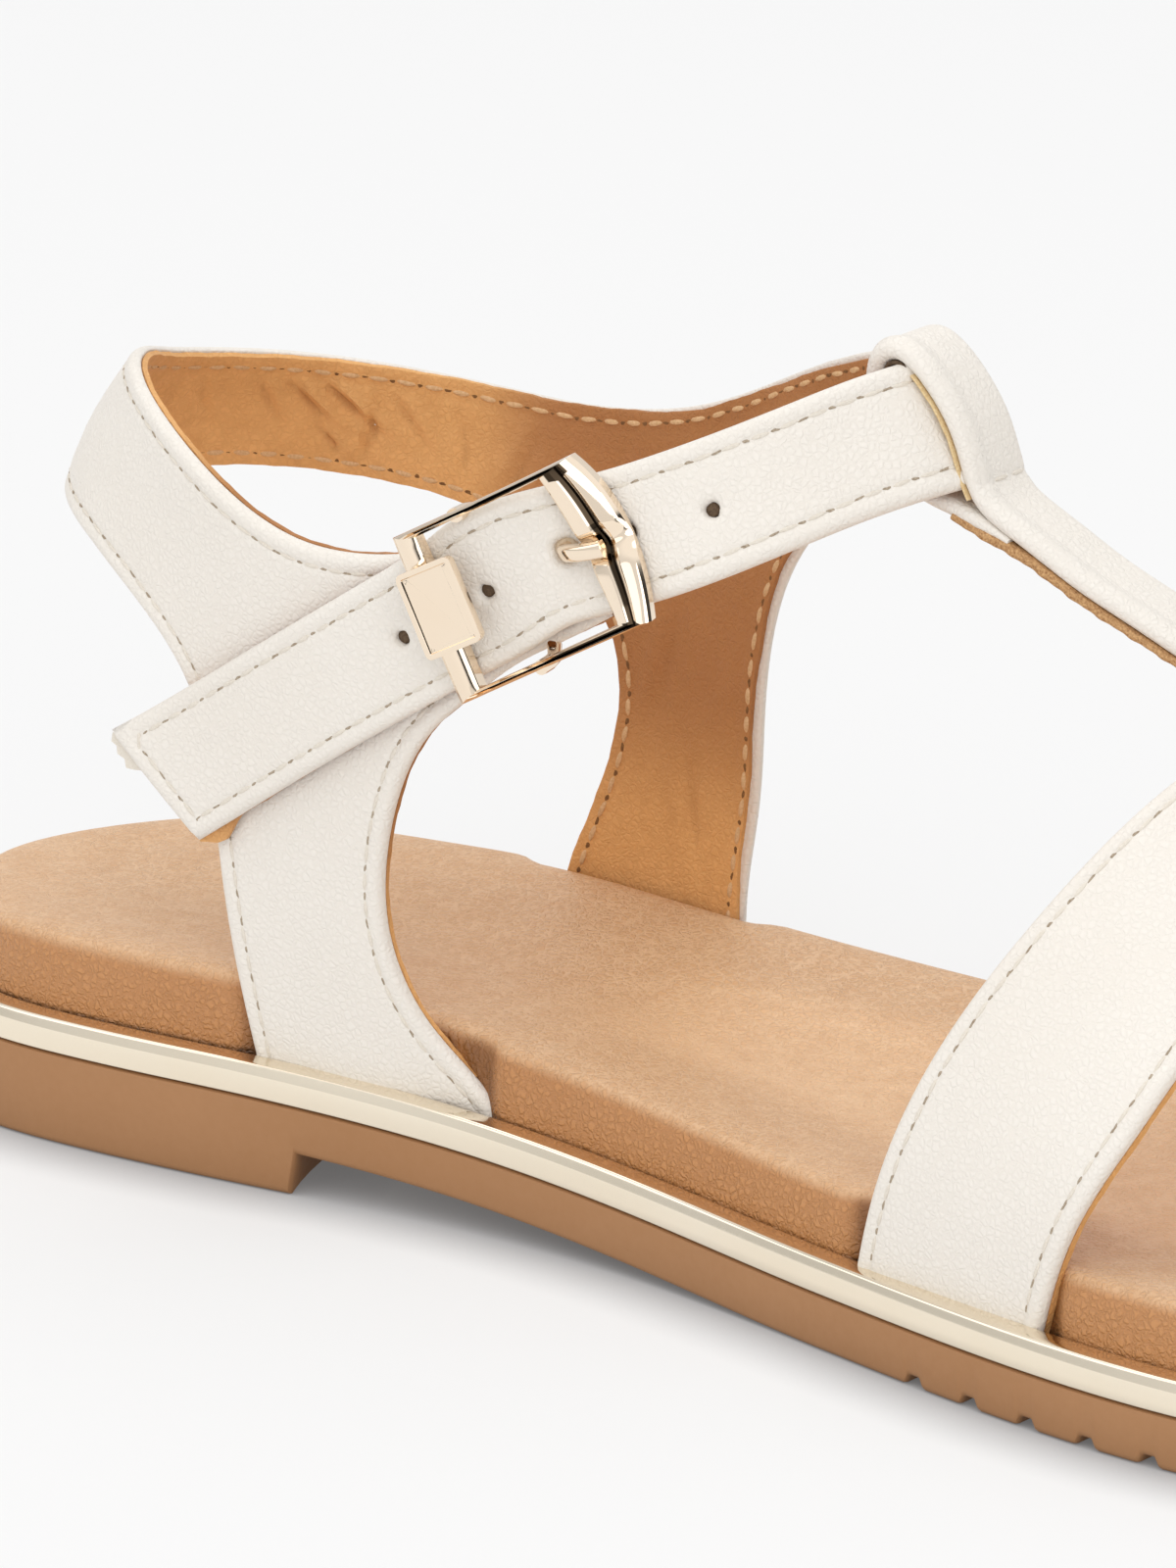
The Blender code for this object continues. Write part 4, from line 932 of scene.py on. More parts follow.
ankle = {
    # plan of the ankle surface: x, y at the height, and lean in degrees
    "ring": [
        (-108.0, 1.0, 66.0, 20.0), (-99.0, 18.0, 66.0, 18.0), (-73.5, 27.2, 55.0, -2.0),
        (-55.0, 27.8, 50.0, -2.0), (-38.0, 26.6, 60.0, 0.5), (-21.0, 23.4, 79.0, 13.0),
        (-1.5, 13.5, 85.0, 27.0), (5.0, 1.0, 88.0, 32.0), (-2.5, -11.5, 85.0, 27.0),
        (-21.0, -20.0, 79.0, 13.0), (-36.0, -23.6, 60.0, -2.8), (-56.0, -25.6, 50.0, -3.7),
        (-73.5, -25.7, 55.0, -1.6), (-99.5, -18.0, 66.0, 18.0),
    ],
    # edges of the cut: way round from the back of the heel, height
    "quarterTop": [(-91.0, 80.3), (-84.6, 77.2), (-72.5, 73.3), (-60.0, 72.6), (-41.0, 80.4),
                   (-28.0, 84.0), (0.0, 80.8), (32.0, 76.6), (44.0, 74.9), (52.0, 74.2), (60.0, 74.8),
                   (68.0, 76.5), (76.0, 79.6), (84.0, 83.4), (90.0, 86.1)],
    "innerEdge": [(51.0, 10.7), (53.6, 23.0), (58.7, 37.0), (58.4, 49.2), (48.5, 58.3), (28.8, 63.5),
                  (0.0, 66.3), (-20.0, 67.2), (-33.0, 63.1), (-43.6, 54.0), (-47.2, 37.0),
                  (-49.2, 22.4), (-51.8, 10.7)],
    "outerLegFront": [(-82.3, 9.6), (-81.2, 12.6), (-79.1, 15.1), (-76.0, 18.0), (-73.3, 20.9),
                      (-69.0, 30.7), (-69.8, 42.0), (-75.8, 54.3), (-81.0, 59.0), (-86.2, 63.2),
                      (-91.4, 66.2), (-96.9, 69.6)],
    "innerLegFront": [(77.4, 9.9), (76.8, 23.4), (78.3, 34.4), (79.0, 47.0), (83.0, 61.5), (89.0, 69.0)],
    "strapLine": [(80.0, 75.0), (97.0, 81.2), (116.0, 87.2), (135.5, 90.6), (149.5, 88.3), (172.0, 78.8),
                  (177.0, 76.95), (182.2, 74.8), (186.7, 71.65), (193.1, 67.2), (221.3, 48.4), (229.0, 43.0)],
    "spread": (0.8, 0.3), "spreadAt": 185.5, "spreadReach": 5.0,
    "strapWidth": 14.4, "topFrom": 0.11, "lowFrom": 0.14, "tip": (2.0, -0.6),
    "lift": 2.5, "liftStart": 140.0, "liftEnd": 166.0,
    "fastened": (179.0, 75.4), "turn": -28.8,
    "heelCup": (4.9, 7.0), "heelCupBase": 66.0, "heelCupHeight": 15.5, "heelCupReach": 22.0,
    # punched holes: way from the buckle's origin, rise above the middle
    "holeSteps": (-17.7, -8.0, 9.0, 20.9), "holeRise": (-0.3, 0.3, 0.0, 0.2), "holeRadius": 0.72,
    "fastenedHole": (-1.15, 0.9), "fastenedRadius": 1.25, "holeSides": 18, "searchPoints": 800,
    # unevenness of a hole's edge: share, rate round it, turn from hole to hole
    "holeRough": [(0.07, 3, 2), (0.05, 5, 1)],
    # dark bead painted as the shade in a hole, as share of its radius and height, and bead of the fastened
    # hole
    "plug": (2.3, 0.9), "tornBead": (3.0, 3.0, 1.1),
    "bulge": 0.8, "bulgeAt": 4.0, "bulgeReach": 5.5, "bulgeFrom": 150.0, "bulgeSides": 0.3,
    # sewn above a height, and on the tab beside the strap only below another
    "sewnAbove": 12.9, "tabFrom": -79.0, "tabBelow": 55.0, "insideRise": 0.08,
    # painted shadow of the strap: the lining is coloured darker along the shoe and upwards
    "shadeX": (-84.0, -66.0), "shadeZ": (22.0, 52.0),
    # frayed bit: way down the tip, way out of it
    "fray": [(0.3, -1.0), (0.3, 0.2), (0.9, 0.9), (1.6, 0.7), (2.3, 1.2), (3.2, 0.9), (4.0, 1.4), (4.7, 0.8),
             (5.2, 0.2), (5.2, -1.0)],
    "frayInsets": [0.2], "fraySpacing": 0.5, "frayFaces": (0.1, -0.5),
    # creases of the lining: way round, height, turn, reach, depth, width
    "liningFolds": [
        (16.8, 73.3, -66.0, 3.4, 0.5, 0.6), (22.0, 72.2, -49.0, 4.4, 0.7, 0.6),
        (26.2, 72.4, -43.0, 5.0, 0.7, 0.6), (24.4, 67.4, -53.0, 3.2, 0.6, 0.55),
        (28.9, 69.0, 76.0, 3.6, 0.6, 0.6), (33.5, 70.5, -60.0, 4.0, 0.4, 0.6),
        (39.5, 68.0, 95.0, 5.0, 0.35, 0.7), (46.0, 66.0, 60.0, 6.0, 0.35, 0.7),
        (9.0, 74.0, -75.0, 4.0, 0.35, 0.6), (60.0, 62.0, 40.0, 6.0, 0.4, 1.0),
        (66.0, 48.0, 75.0, 6.0, 0.35, 0.9), (70.0, 32.0, 100.0, 7.0, 0.35, 1.0),
        (-12.0, 74.0, 95.0, 4.0, 0.3, 0.8), (4.0, 73.0, 85.0, 4.0, 0.3, 0.8),
        (96.0, 80.0, 60.0, 4.0, 0.3, 0.8), (108.0, 84.0, 110.0, 4.0, 0.3, 0.8),
    ],
}

ringAt, ringLength = curveThrough(ankle["ring"], closed=True)
strapAt, strapLength = curveThrough(ankle["strapLine"])


def heelCup(s, h):
    # the band bellies out behind the heel and turns in at its top
    s = (s + ringLength / 2) % ringLength - ringLength / 2
    rise = np.maximum(0.0, (h - ankle["heelCupBase"]) / ankle["heelCupHeight"])
    straight, square = ankle["heelCup"]
    return bell(s, 0.0, ankle["heelCupReach"]) * (straight * rise - square * rise ** 2)


def anklePoint(s, h, out=0.0):
    s, h = np.asarray(s, float), np.asarray(h, float)
    x, y, height, lean = np.moveaxis(ringAt(s), -1, 0)
    ahead = ringAt(s + 0.5) - ringAt(s - 0.5)
    length = np.hypot(ahead[..., 0], ahead[..., 1])
    reach = np.tan(np.radians(lean)) * (height - h) + heelCup(s, h) + out
    x = x - ahead[..., 1] / length * reach
    y = y + ahead[..., 0] / length * reach
    return np.stack([x, y, h + 0 * reach], -1)


def strapLift(s):
    return ankle["lift"] * smoothStep(s, ankle["liftStart"], ankle["liftEnd"])


def strapBulge(s, h):
    # the strap rides up over the centre bar of the buckle
    turn = math.radians(ankle["turn"])
    ds, dh = s - ankle["fastened"][0], h - ankle["fastened"][1]
    along = ds * math.cos(turn) + dh * math.sin(turn)
    across = (dh * math.cos(turn) - ds * math.sin(turn)) / (ankle["strapWidth"] / 2)
    high = ankle["bulge"] * bell(along, ankle["bulgeAt"], ankle["bulgeReach"])
    return high * (1 - ankle["bulgeSides"] * across ** 2) * (s > ankle["bulgeFrom"])


def ankleSheet(flat):
    s, h = flat[:, 0], flat[:, 1]
    return anklePoint(s, h, strapLift(s) + strapBulge(s, h))


def strapEdges(step):
    run = np.linspace(0.0, strapLength, int(round(strapLength / step)) + 1)
    line = strapAt(run)
    ahead = strapAt(run + 0.5) - strapAt(run - 0.5)
    lean = np.radians(ringAt(line[:, 0])[:, 3])
    across = np.stack([-ahead[:, 1], ahead[:, 0] * np.cos(lean)], 1)
    across /= np.hypot(ahead[:, 0], ahead[:, 1])[:, None]
    share = run / strapLength
    spread = bell(line[:, 0], ankle["spreadAt"], ankle["spreadReach"])[:, None]
    above, below = (ankle["strapWidth"] / 2 + wide * spread for wide in ankle["spread"])
    upper = (line + across * above)[share > ankle["topFrom"]]
    lower = (line - across * below)[share > ankle["lowFrom"]]
    upper[-1] += ankle["tip"][0] * ahead[-1]
    lower[-1] += ankle["tip"][1] * ahead[-1]
    return upper, lower


def ankleOutline(step):
    upper, lower = strapEdges(step)
    top, edge = ankle["quarterTop"], ankle["innerEdge"]
    outer, inner = ankle["outerLegFront"], ankle["innerLegFront"]
    return np.vstack([
        alongCurve(top, step), upper, betweenCorners(upper[-1], lower[-1], step), lower[::-1],
        alongCurve(inner, step)[::-1], betweenCorners(inner[0], edge[0], step),
        alongCurve(edge, step), betweenCorners(edge[-1], outer[0], step),
        alongCurve(outer, step), betweenCorners(outer[-1], top[0], step),
    ])


def bucklePattern(d, w):
    turn = math.radians(ankle["turn"])
    s = ankle["fastened"][0] + d * math.cos(turn) - w * math.sin(turn)
    h = ankle["fastened"][1] + d * math.sin(turn) + w * math.cos(turn)
    return s, h


def bucklePoint(d, w, o):
    s, h = bucklePattern(d, w)
    return anklePoint(s, h, strapLift(s) + o)


def strapHoles():
    # middles of the punched holes, the fastened one first
    run = np.linspace(0.0, strapLength, ankle["searchPoints"])
    fastened = run[np.argmin(abs(strapAt(run)[:, 0] - ankle["fastened"][0]))]
    middles = [bucklePattern(*ankle["fastenedHole"])]
    for step, rise in zip(ankle["holeSteps"], ankle["holeRise"]):
        middles.append(strapAt(fastened + step) + (0.0, rise))
    return np.array(middles)


def holeLoops():
    # not quite round
    angle = np.arange(ankle["holeSides"]) * 2 * math.pi / ankle["holeSides"]
    circle = np.stack([np.cos(angle), np.sin(angle)], 1)
    loops = []
    for k, middle in enumerate(strapHoles()):
        radius = ankle["holeRadius"] if k else ankle["fastenedRadius"]
        waves = [share * np.sin(rate * angle + turn * k) for share, rate, turn in ankle["holeRough"]]
        loops.append(middle + radius * sum(waves, 1.0)[:, None] * circle)
    return loops


def holePlaces():
    middles = strapHoles()
    ahead = ankleSheet(middles + (0.3, 0.0)) - ankleSheet(middles - (0.3, 0.0))
    return list(zip(ankleSheet(middles), unit(ahead), surfaceNormals(ankleSheet, middles)))


def sewnOnAnkle(points):
    tab = (points[:, 0] > ankle["tabFrom"]) | (points[:, 1] < ankle["tabBelow"])
    return tab & (points[:, 1] > ankle["sewnAbove"])


def frayOutline():
    # a ragged bit of leather that stands out of the strap's tip below its upper corner
    upper, lower = (edge[-1] for edge in strapEdges(wall["edgeStep"]))
    along = (lower - upper) / np.linalg.norm(lower - upper)
    out = np.array([-along[1], along[0]])
    return np.array([upper + t * along + o * out for t, o in ankle["fray"]])


def creasedLining(depth, flat):
    creases = foldRelief(flat, ankle["liningFolds"]) * smoothStep(depth, *wall["creaseIn"])
    return liningInner(depth, flat) + creases


ankleCut = ankleOutline(wall["edgeStep"])
creamCut = layCut(ankleCut, holeLoops(), wall["insets"], wall["spacing"])
creamQuarters = sheetPiece("creamQuarters", creamCut, ankleSheet, creamOuter, creamInner)
settle(creamQuarters, creamLeather, "cream_leather", "upper")
liningCut = layCut(liningOutline(ankleCut), [], wall["liningInsets"], wall["liningSpacing"])
quarterLining = sheetPiece("quarterLining", liningCut, ankleSheet, liningOuter, creasedLining)
# the fold depths also serve as the mark 'crease', which the finish darkens as painted shade
liningCreases = foldRelief(liningCut[0], ankle["liningFolds"])
keepMark(quarterLining, "crease", np.r_[liningCreases, liningCreases])
# painted shadow of the strap on the quarter's lining, kept as the mark 'shade'
liningPlace = pointsOf(quarterLining)
keepMark(quarterLining, "shade", smoothStep(liningPlace[:, 0], *ankle["shadeX"])
         * smoothStep(liningPlace[:, 2], *ankle["shadeZ"]))
settle(quarterLining, tanLining, "tan_leather")
# painted shade: dark beads sit in the punched holes
plug = ankle["plug"][0] * ankle["holeRadius"]
plugBead = beadShape(plug, plug, ankle["plug"][1], 0.0)
settle(beadPiece("punchedHoles", holePlaces()[1:], plugBead), darkHole, "tan_leather")
tornBead = beadShape(*ankle["tornBead"], 0.0)
settle(beadPiece("tornHole", holePlaces()[:1], tornBead), tornLeather, "tan_leather")
frayCut = layCut(frayOutline(), [], ankle["frayInsets"], ankle["fraySpacing"])
frayFaces = [lambda depth, flat, level=level: level + 0 * depth for level in ankle["frayFaces"]]
settle(sheetPiece("tipFray", frayCut, ankleSheet, *frayFaces), creamThread, "cream_leather")
ankleRuns = sewnPaths(ankleCut, wall["stitchIn"], sewnOnAnkle)
sewRuns("quarter", ankleRuns, ankleSheet, wall["half"] - wall["grooveDeep"])
ankleInsideRuns = sewnPaths(ankleCut, wall["insideStitchIn"], sewnOnAnkle)
sewRuns("quarterInside", ankleInsideRuns, ankleSheet, -wall["half"] + ankle["insideRise"], inside=True)
print("quarters and ankle strap made")


# toe strap

toe = {
    # rear edge x, y, z and front edge x, y, z
    "rows": [
        (14.0, -31.5, 6.9, 40.4, -36.5, 6.7), (17.4, -32.5, 18.8, 44.3, -37.0, 19.0),
        (23.1, -30.5, 33.2, 50.1, -33.5, 31.0), (31.0, -23.0, 48.2, 53.8, -24.0, 41.5),
        (37.0, -10.0, 59.2, 58.3, -10.0, 50.0), (39.5, 2.0, 62.2, 59.5, 3.0, 52.4),
        (40.0, 14.0, 59.0, 60.5, 16.0, 49.6), (38.0, 26.5, 48.5, 60.0, 29.5, 40.5),
        (34.5, 34.5, 33.0, 57.5, 38.0, 29.0), (31.5, 36.6, 18.8, 55.0, 39.6, 18.0),
        (30.5, 36.2, 6.8, 54.0, 39.3, 6.8),
    ],
    "width": 25.0, "sewnFrom": 4.3, "sewnEdge": 3.0, "over": 0.1, "insideRise": -0.02, "beyond": 3.0,
}

toeAt, toeLength = curveThrough([(y, z, x, fx, fy, fz) for x, y, z, fx, fy, fz in toe["rows"]])


def toeSheet(flat):
    rows = toeAt(np.clip(flat[:, 0], -toe["beyond"], toeLength + toe["beyond"]))
    share = (flat[:, 1] / toe["width"])[:, None]
    return rows[:, [2, 0, 1]] * (1 - share) + rows[:, [3, 4, 5]] * share


def toeOutline(step):
    a, b, c, d = (0.0, 0.0), (0.0, toe["width"]), (toeLength, toe["width"]), (toeLength, 0.0)
    sides = []
    for start, end in ((a, b), (b, c), (c, d), (d, a)):
        sides += [np.array([start]), betweenCorners(start, end, step)]
    return np.vstack(sides)


def sewnOnToe(points):
    along = (points[:, 1] < toe["sewnEdge"]) | (points[:, 1] > toe["width"] - toe["sewnEdge"])
    return along & (points[:, 0] > toe["sewnFrom"]) & (points[:, 0] < toeLength - toe["sewnFrom"])


def toeOuter(depth, flat):
    return creamOuter(depth, flat) + toe["over"]


def toeInner(depth, flat):
    return liningInner(depth, flat) - toe["over"]


toeCut = toeOutline(wall["edgeStep"])
toeStrap = sheetPiece("toeStrap", layCut(toeCut, [], wall["insets"], wall["spacing"]), toeSheet,
                      toeOuter, creamInner)
settle(toeStrap, creamLeather, "cream_leather")
toeLining = sheetPiece("toeLining", layCut(liningOutline(toeCut), [], wall["liningInsets"], wall["spacing"]),
                       toeSheet, liningOuter, toeInner)
settle(toeLining, tanLining, "tan_leather")
toeRuns = sewnPaths(toeCut, wall["stitchIn"], sewnOnToe)
sewRuns("toe", toeRuns, toeSheet, wall["half"] + toe["over"] - wall["grooveDeep"])
sewRuns("toeInside", toeRuns, toeSheet, -wall["half"] + toe["insideRise"], inside=True)
print("toe strap made")


# bar of the T with the loop that the ankle strap runs through

tBar = {
    # x, z, y of the middle, width, thickness, from inside the toe strap over the loop and back under
    "rows": [
        (50.0, 57.0, 6.5, 8.6, 1.2), (45.0, 59.6, 6.5, 8.6, 1.2), (40.5, 63.4, 6.3, 8.6, 1.5),
        (36.1, 67.3, 5.8, 8.7, 1.8), (31.2, 70.35, 4.8, 8.9, 2.0), (25.4, 73.55, 3.4, 9.0, 2.0),
        (20.2, 76.35, 2.2, 9.0, 2.0), (15.2, 79.4, 1.3, 9.0, 2.0), (11.6, 81.5, 0.8, 9.0, 2.0),
        (8.9, 83.4, 0.7, 9.0, 2.1), (7.5, 85.8, 0.7, 9.0, 2.2), (6.4, 88.8, 0.7, 9.0, 2.2),
        (4.8, 91.9, 0.7, 9.0, 2.2), (2.5, 94.8, 0.7, 9.0, 2.2), (0.0, 97.0, 0.7, 9.0, 2.2),
        (-2.3, 97.8, 0.7, 9.0, 2.2), (-4.2, 96.9, 0.7, 9.0, 2.2), (-5.0, 94.5, 0.7, 9.0, 2.2),
        (-4.7, 91.0, 0.7, 9.0, 2.2), (-3.3, 87.4, 0.7, 9.0, 2.2), (-1.0, 84.7, 0.7, 9.0, 2.2),
        (1.8, 83.1, 0.7, 9.0, 2.0), (5.0, 82.2, 0.7, 9.0, 1.8), (8.0, 81.3, 0.7, 9.0, 1.6),
        (10.2, 80.5, 0.7, 8.7, 1.2), (12.2, 79.65, 0.8, 8.4, 0.7),
    ],
    "lining": [
        (5.4, 81.4, 0.7, 9.2, 0.8), (9.2, 80.0, 0.7, 9.3, 1.0), (12.2, 79.0, 0.9, 9.3, 1.1),
        (14.5, 77.95, 1.3, 9.3, 1.1), (19.5, 75.05, 2.2, 9.3, 1.0), (24.8, 72.15, 3.4, 9.2, 0.9),
        (30.5, 69.15, 4.7, 9.1, 0.8), (35.3, 66.25, 5.7, 8.9, 0.8), (39.8, 62.6, 6.3, 8.8, 0.6),
        (44.0, 59.2, 6.5, 8.6, 0.5),
    ],
    "roll": 0.24, "rollIn": 1.3, "rollWide": 1.1, "groove": 0.09, "grooveIn": 3.1, "grooveWide": 0.6,
    # leather behind the loop: way in from it, width, thickness; heights between which it shows
    "backing": (1.16, 9.08, 0.26), "backingFrom": (83.9, 96.6),
    # a dark sheet under the top of the loop, painted shade in its gap
    "hollow": (1.35, 8.3, 0.5), "hollowFrom": (95.0, 99.0),
    # the bar is sewn down across its width below the loop
    "sewnAt": (7.9, 84.8), "sewnDeep": 0.22, "sewnWide": 0.7, "sewnAcross": (-0.3, 2.5),
    # points of a section's round edges and flat face; steps along the bar
    "edgePoints": 9, "facePoints": 27, "backingSteps": 240, "backingEvery": 3, "sewnSteps": 400,
    # waves of a raw edge: share, rate, start
    "edgeWaves": [(1.0, 1.7, 0.0), (0.7, 3.3, 1.0)],
}


def bandSection(width, thick, relief):
    # closed section with round edges; the outer face has a roll along its outer-side edge
    half, r = width / 2, thick / 2
    turn = np.radians(np.linspace(-90.0, 90.0, tBar["edgePoints"]))
    flat = np.linspace(-1.0, 1.0, tBar["facePoints"])[1:-1] * (half - r)
    rise = tBar["roll"] * bell(half + flat, tBar["rollIn"], tBar["rollWide"])
    rise -= tBar["groove"] * bell(half + flat, tBar["grooveIn"], tBar["grooveWide"])
    near = [(r - half - r * math.cos(t), r * math.sin(t)) for t in turn]
    top = [(w, r + relief * up) for w, up in zip(flat, rise)]
    far = [(half - r + r * math.cos(t), r * math.sin(t)) for t in turn[::-1]]
    return near + top + far + [(w, -r) for w in flat[::-2]]


def barPath(rows, count):
    at, length = curveThrough(rows)
    run = np.linspace(0.0, length, count)
    ahead = at(run + 0.3)[:, :2] - at(run - 0.3)[:, :2]
    return at(run), unit(ahead)


def barRings(rows, count, relief, uneven):
    line, ahead = barPath(rows, count)
    step = flatRun(line)
    sewn = step[np.argmin(np.hypot(*(line[:, :2] - tBar["sewnAt"]).T))]
    rings = []
    for (x, z, y, width, thick), (ax, az), at in zip(line, ahead, step):
        waves = sum(share * math.sin(rate * at + start) for share, rate, start in tBar["edgeWaves"])
        wide = width + uneven * waves
        dent = relief * tBar["sewnDeep"] * float(bell(at, sewn, tBar["sewnWide"]))
        section = [(w, o - dent * (o > 0)) for w, o in bandSection(wide, thick, relief)]
        rings.append([(x + az * o, y + w, z - ax * o) for w, o in section])
    return rings


def backingRows(size, heights):
    line, ahead = barPath(tBar["rows"], tBar["backingSteps"])
    inward, width, thick = size
    inside = line + np.c_[-ahead[:, 1] * inward, ahead[:, 0] * inward, np.zeros((len(line), 3))]
    inside[:, 3:] = width, thick
    onSide = (line[:, 0] > 0.0) == (heights[1] < line[:, 1].max())
    shown = (line[:, 1] > heights[0]) & (line[:, 1] < heights[1]) & onSide
    return inside[shown][::tBar["backingEvery"]]


def barStitchPlaces():
    line, ahead = barPath(tBar["rows"], tBar["sewnSteps"])
    k = int(np.argmin(np.hypot(*(line[:, :2] - tBar["sewnAt"]).T)))
    x, z, y, width, thick = line[k]
    normal = np.array([ahead[k][1], 0.0, -ahead[k][0]])
    middle = np.array([x, y, z]) + normal * (thick / 2 - tBar["sewnDeep"])
    across = np.array([0.0, 1.0, 0.0])
    return [(middle + across * w, across, normal) for w in tBar["sewnAcross"]]


backing = backingRows(tBar["backing"], tBar["backingFrom"])
# painted shade: a dark sheet that shows in the gap under the top of the loop
hollow = backingRows(tBar["hollow"], tBar["hollowFrom"])
# name, rows, stations, relief, unevenness, finish, slot
barPieces = [
    ("creamBar", tBar["rows"], 200, 1.0, 0.0, creamLeather, "cream_leather"),
    ("barLining", tBar["lining"], 160, 0.0, 0.2, rawEdge, "tan_leather"),
    ("loopBacking", backing, 120, 0.0, 0.06, paleEdge, "tan_leather"),
    ("loopHollow", hollow, 60, 0.0, 0.0, darkHole, "tan_leather"),
]
for name, rows, count, relief, uneven, finish, slotName in barPieces:
    settle(loftPiece(name, barRings(rows, count, relief, uneven), sharpAngle=60.0), finish, slotName)
barThread = beadPiece("barThread", barStitchPlaces(), threadBead, rise=stitch["rise"])
settle(barThread, creamThread, "cream_leather")
print("bar of the T made")


# buckle

buckle = {
    "tipBar": (12.3, 15.1), "skew": -0.136, "archBar": (-3.6, -7.5), "arch": (0.0, 1.7),
    "rail": (8.45, 9.3), "archSkew": 0.083, "archAlong": -0.25, "archUp": 0.45,
    "level": (1.5, 3.7), "notch": 1.0, "notchReach": 1.5, "notchOver": (0.2, 0.7),
    "tipPoints": 17, "railPoints": 16, "archPoints": 41,
    # section of arched bar and rails, then of the bar nearest the tip: share of width, of height
    "archSection": [(0.0, 0.0), (0.0, 0.62), (0.04, 0.70), (0.30, 0.80), (0.34, 0.80), (0.46, 0.64),
                    (0.60, 0.92), (0.66, 1.0), (0.84, 0.90), (0.95, 0.74), (1.0, 0.55), (1.0, 0.0)],
    "tipSection": [(0.0, 0.0), (0.0, 0.66), (0.04, 0.74), (0.26, 0.93), (0.34, 0.98), (0.40, 1.0),
                   (0.46, 1.0), (0.54, 0.98), (0.74, 0.86), (0.94, 0.70), (1.0, 0.60), (1.0, 0.0)],
    # shares of the section's width painted as a dark reflection, on the arched bar and on the rails
    "darkReflection": (0.36, 0.59), "darkReflectionRail": (0.12, 0.78), "darkReflectionFades": (0.5, 9.0), "darkReflectionEdge": 0.1,
    "railNear": 0.6, "centreD": 6.4, "centreRadius": 0.8, "centreSides": 14,
    "centreLine": [(8.95, 2.5), (8.95, 0.3), (8.8, -1.15), (7.8, -2.15), (6.4, -2.35), (0.0, -2.35)],
    # d, o and w of the prong
    "prongLine": [(2.8, -2.4, 0.9), (1.0, -2.35, 0.9), (-0.4, -1.7, 0.9), (-1.0, -0.6, 0.9), (-1.2, 0.9, 0.9),
                  (-1.7, 2.2, 0.8), (-2.9, 3.2, 0.55), (-4.7, 3.8, 0.15), (-6.6, 3.95, -0.2)],
    "prongWide": 0.9, "prongThick": 0.75, "prongStep": 0.3, "prongSides": 16, "prongPower": 0.6,
    "plateD": (8.9, 15.5), "plateW": (-3.83, 5.57), "plateO": (3.8, 4.8), "plateSkew": -0.15,
    "plateCorner": 0.7, "plateFrame": 0.55, "plateSunk": 0.22, "plateSlope": 0.12, "plateField": 0.5,
    "plateEdge": 0.16, "plateEdgeAngle": 50,
}


def frameSide(k):
    # d, w and whether it is arched bar or rail, round the frame
    tip, arch, rail, bow = (buckle[key][k] for key in ("tipBar", "archBar", "rail", "arch"))
    arch, up = arch + buckle["archAlong"], buckle["archUp"]
    down = np.linspace(0.0, 1.0, buckle["railPoints"])[1:-1]
    rails = {}
    for side in (1, -1):
        start = np.array([tip + side * buckle["skew"] * rail, side * rail])
        end = np.array([arch + side * buckle["archSkew"] * rail, side * rail + up])
        rails[side] = [(*(start + (end - start) * t), 1.0) for t in down]
    along = np.linspace(-1.0, 1.0, buckle["tipPoints"])
    points = [(tip + buckle["skew"] * w * rail, w * rail, 0.0) for w in along] + rails[1]
    for w in np.linspace(1.0, -1.0, buckle["archPoints"]):
        points.append((arch + buckle["archSkew"] * w * rail - bow * (1 - w * w), w * rail + up, 1.0))
    points += rails[-1][::-1]
    return points


def darkReflectionAt(share, d, w):
    # the painted dark reflection lies round the arched bar and runs out along the rails
    onRail = abs(w) > buckle["rail"][0] - buckle["railNear"]
    low, high = buckle["darkReflectionRail"] if onRail else buckle["darkReflection"]
    fades = float(smoothStep(d, *buckle["darkReflectionFades"])) if onRail else 0.0
    low, high = low + 0.5 * fades * (high - low), high - 0.5 * fades * (high - low)
    return float(np.clip(0.5 + min(share - low, high - share) / buckle["darkReflectionEdge"], 0.0, 1.0))


def buckleFrameRings():
    # rings of points and how much painted dark reflection each has
    low, high = buckle["level"]
    rings, darkReflection = [], []
    for (di, wi, kind), (do, wo, same) in zip(frameSide(0), frameSide(1)):
        section = buckle["archSection"] if kind else buckle["tipSection"]
        dip = buckle["notch"] * bell(wo, 0.0, buckle["notchReach"]) if do < 0 else 0.0
        ring = []
        for share, height in section:
            o = low + (high - low) * height - dip * smoothStep(height, *buckle["notchOver"])
            ring.append(bucklePoint(di + (do - di) * share, wi + (wo - wi) * share, o))
            darkReflection.append(darkReflectionAt(share, di, wi) * kind)
        rings.append(ring)
    return rings, np.array(darkReflection)


def markNearest(piece, name, places, values):
    places = np.asarray(places, float).reshape(-1, 3)
    off = np.linalg.norm(pointsOf(piece)[:, None] - places, axis=2)
    keepMark(piece, name, values[off.argmin(1)])


def rodRings(path, wide, thick, sides, power=1.0):
    # bar along d, w, o with a rounded section, wide across its bend
    path = np.asarray(path, float)
    ahead = unit(np.gradient(path, axis=0))
    bend = np.cross(ahead[0], ahead[len(path) // 2])
    bend /= np.linalg.norm(bend)
    rings = []
    for point, way in zip(path, ahead):
        side = np.cross(bend, way)
        ring = []
        for turn in np.arange(sides) * 2 * math.pi / sides + math.pi / sides:
            c, s = math.cos(turn), math.sin(turn)
            across = thick * np.sign(c) * abs(c) ** power * side + wide * np.sign(s) * abs(s) ** power * bend
            ring.append(bucklePoint(*(point + across)))
        rings.append(ring)
    return rings


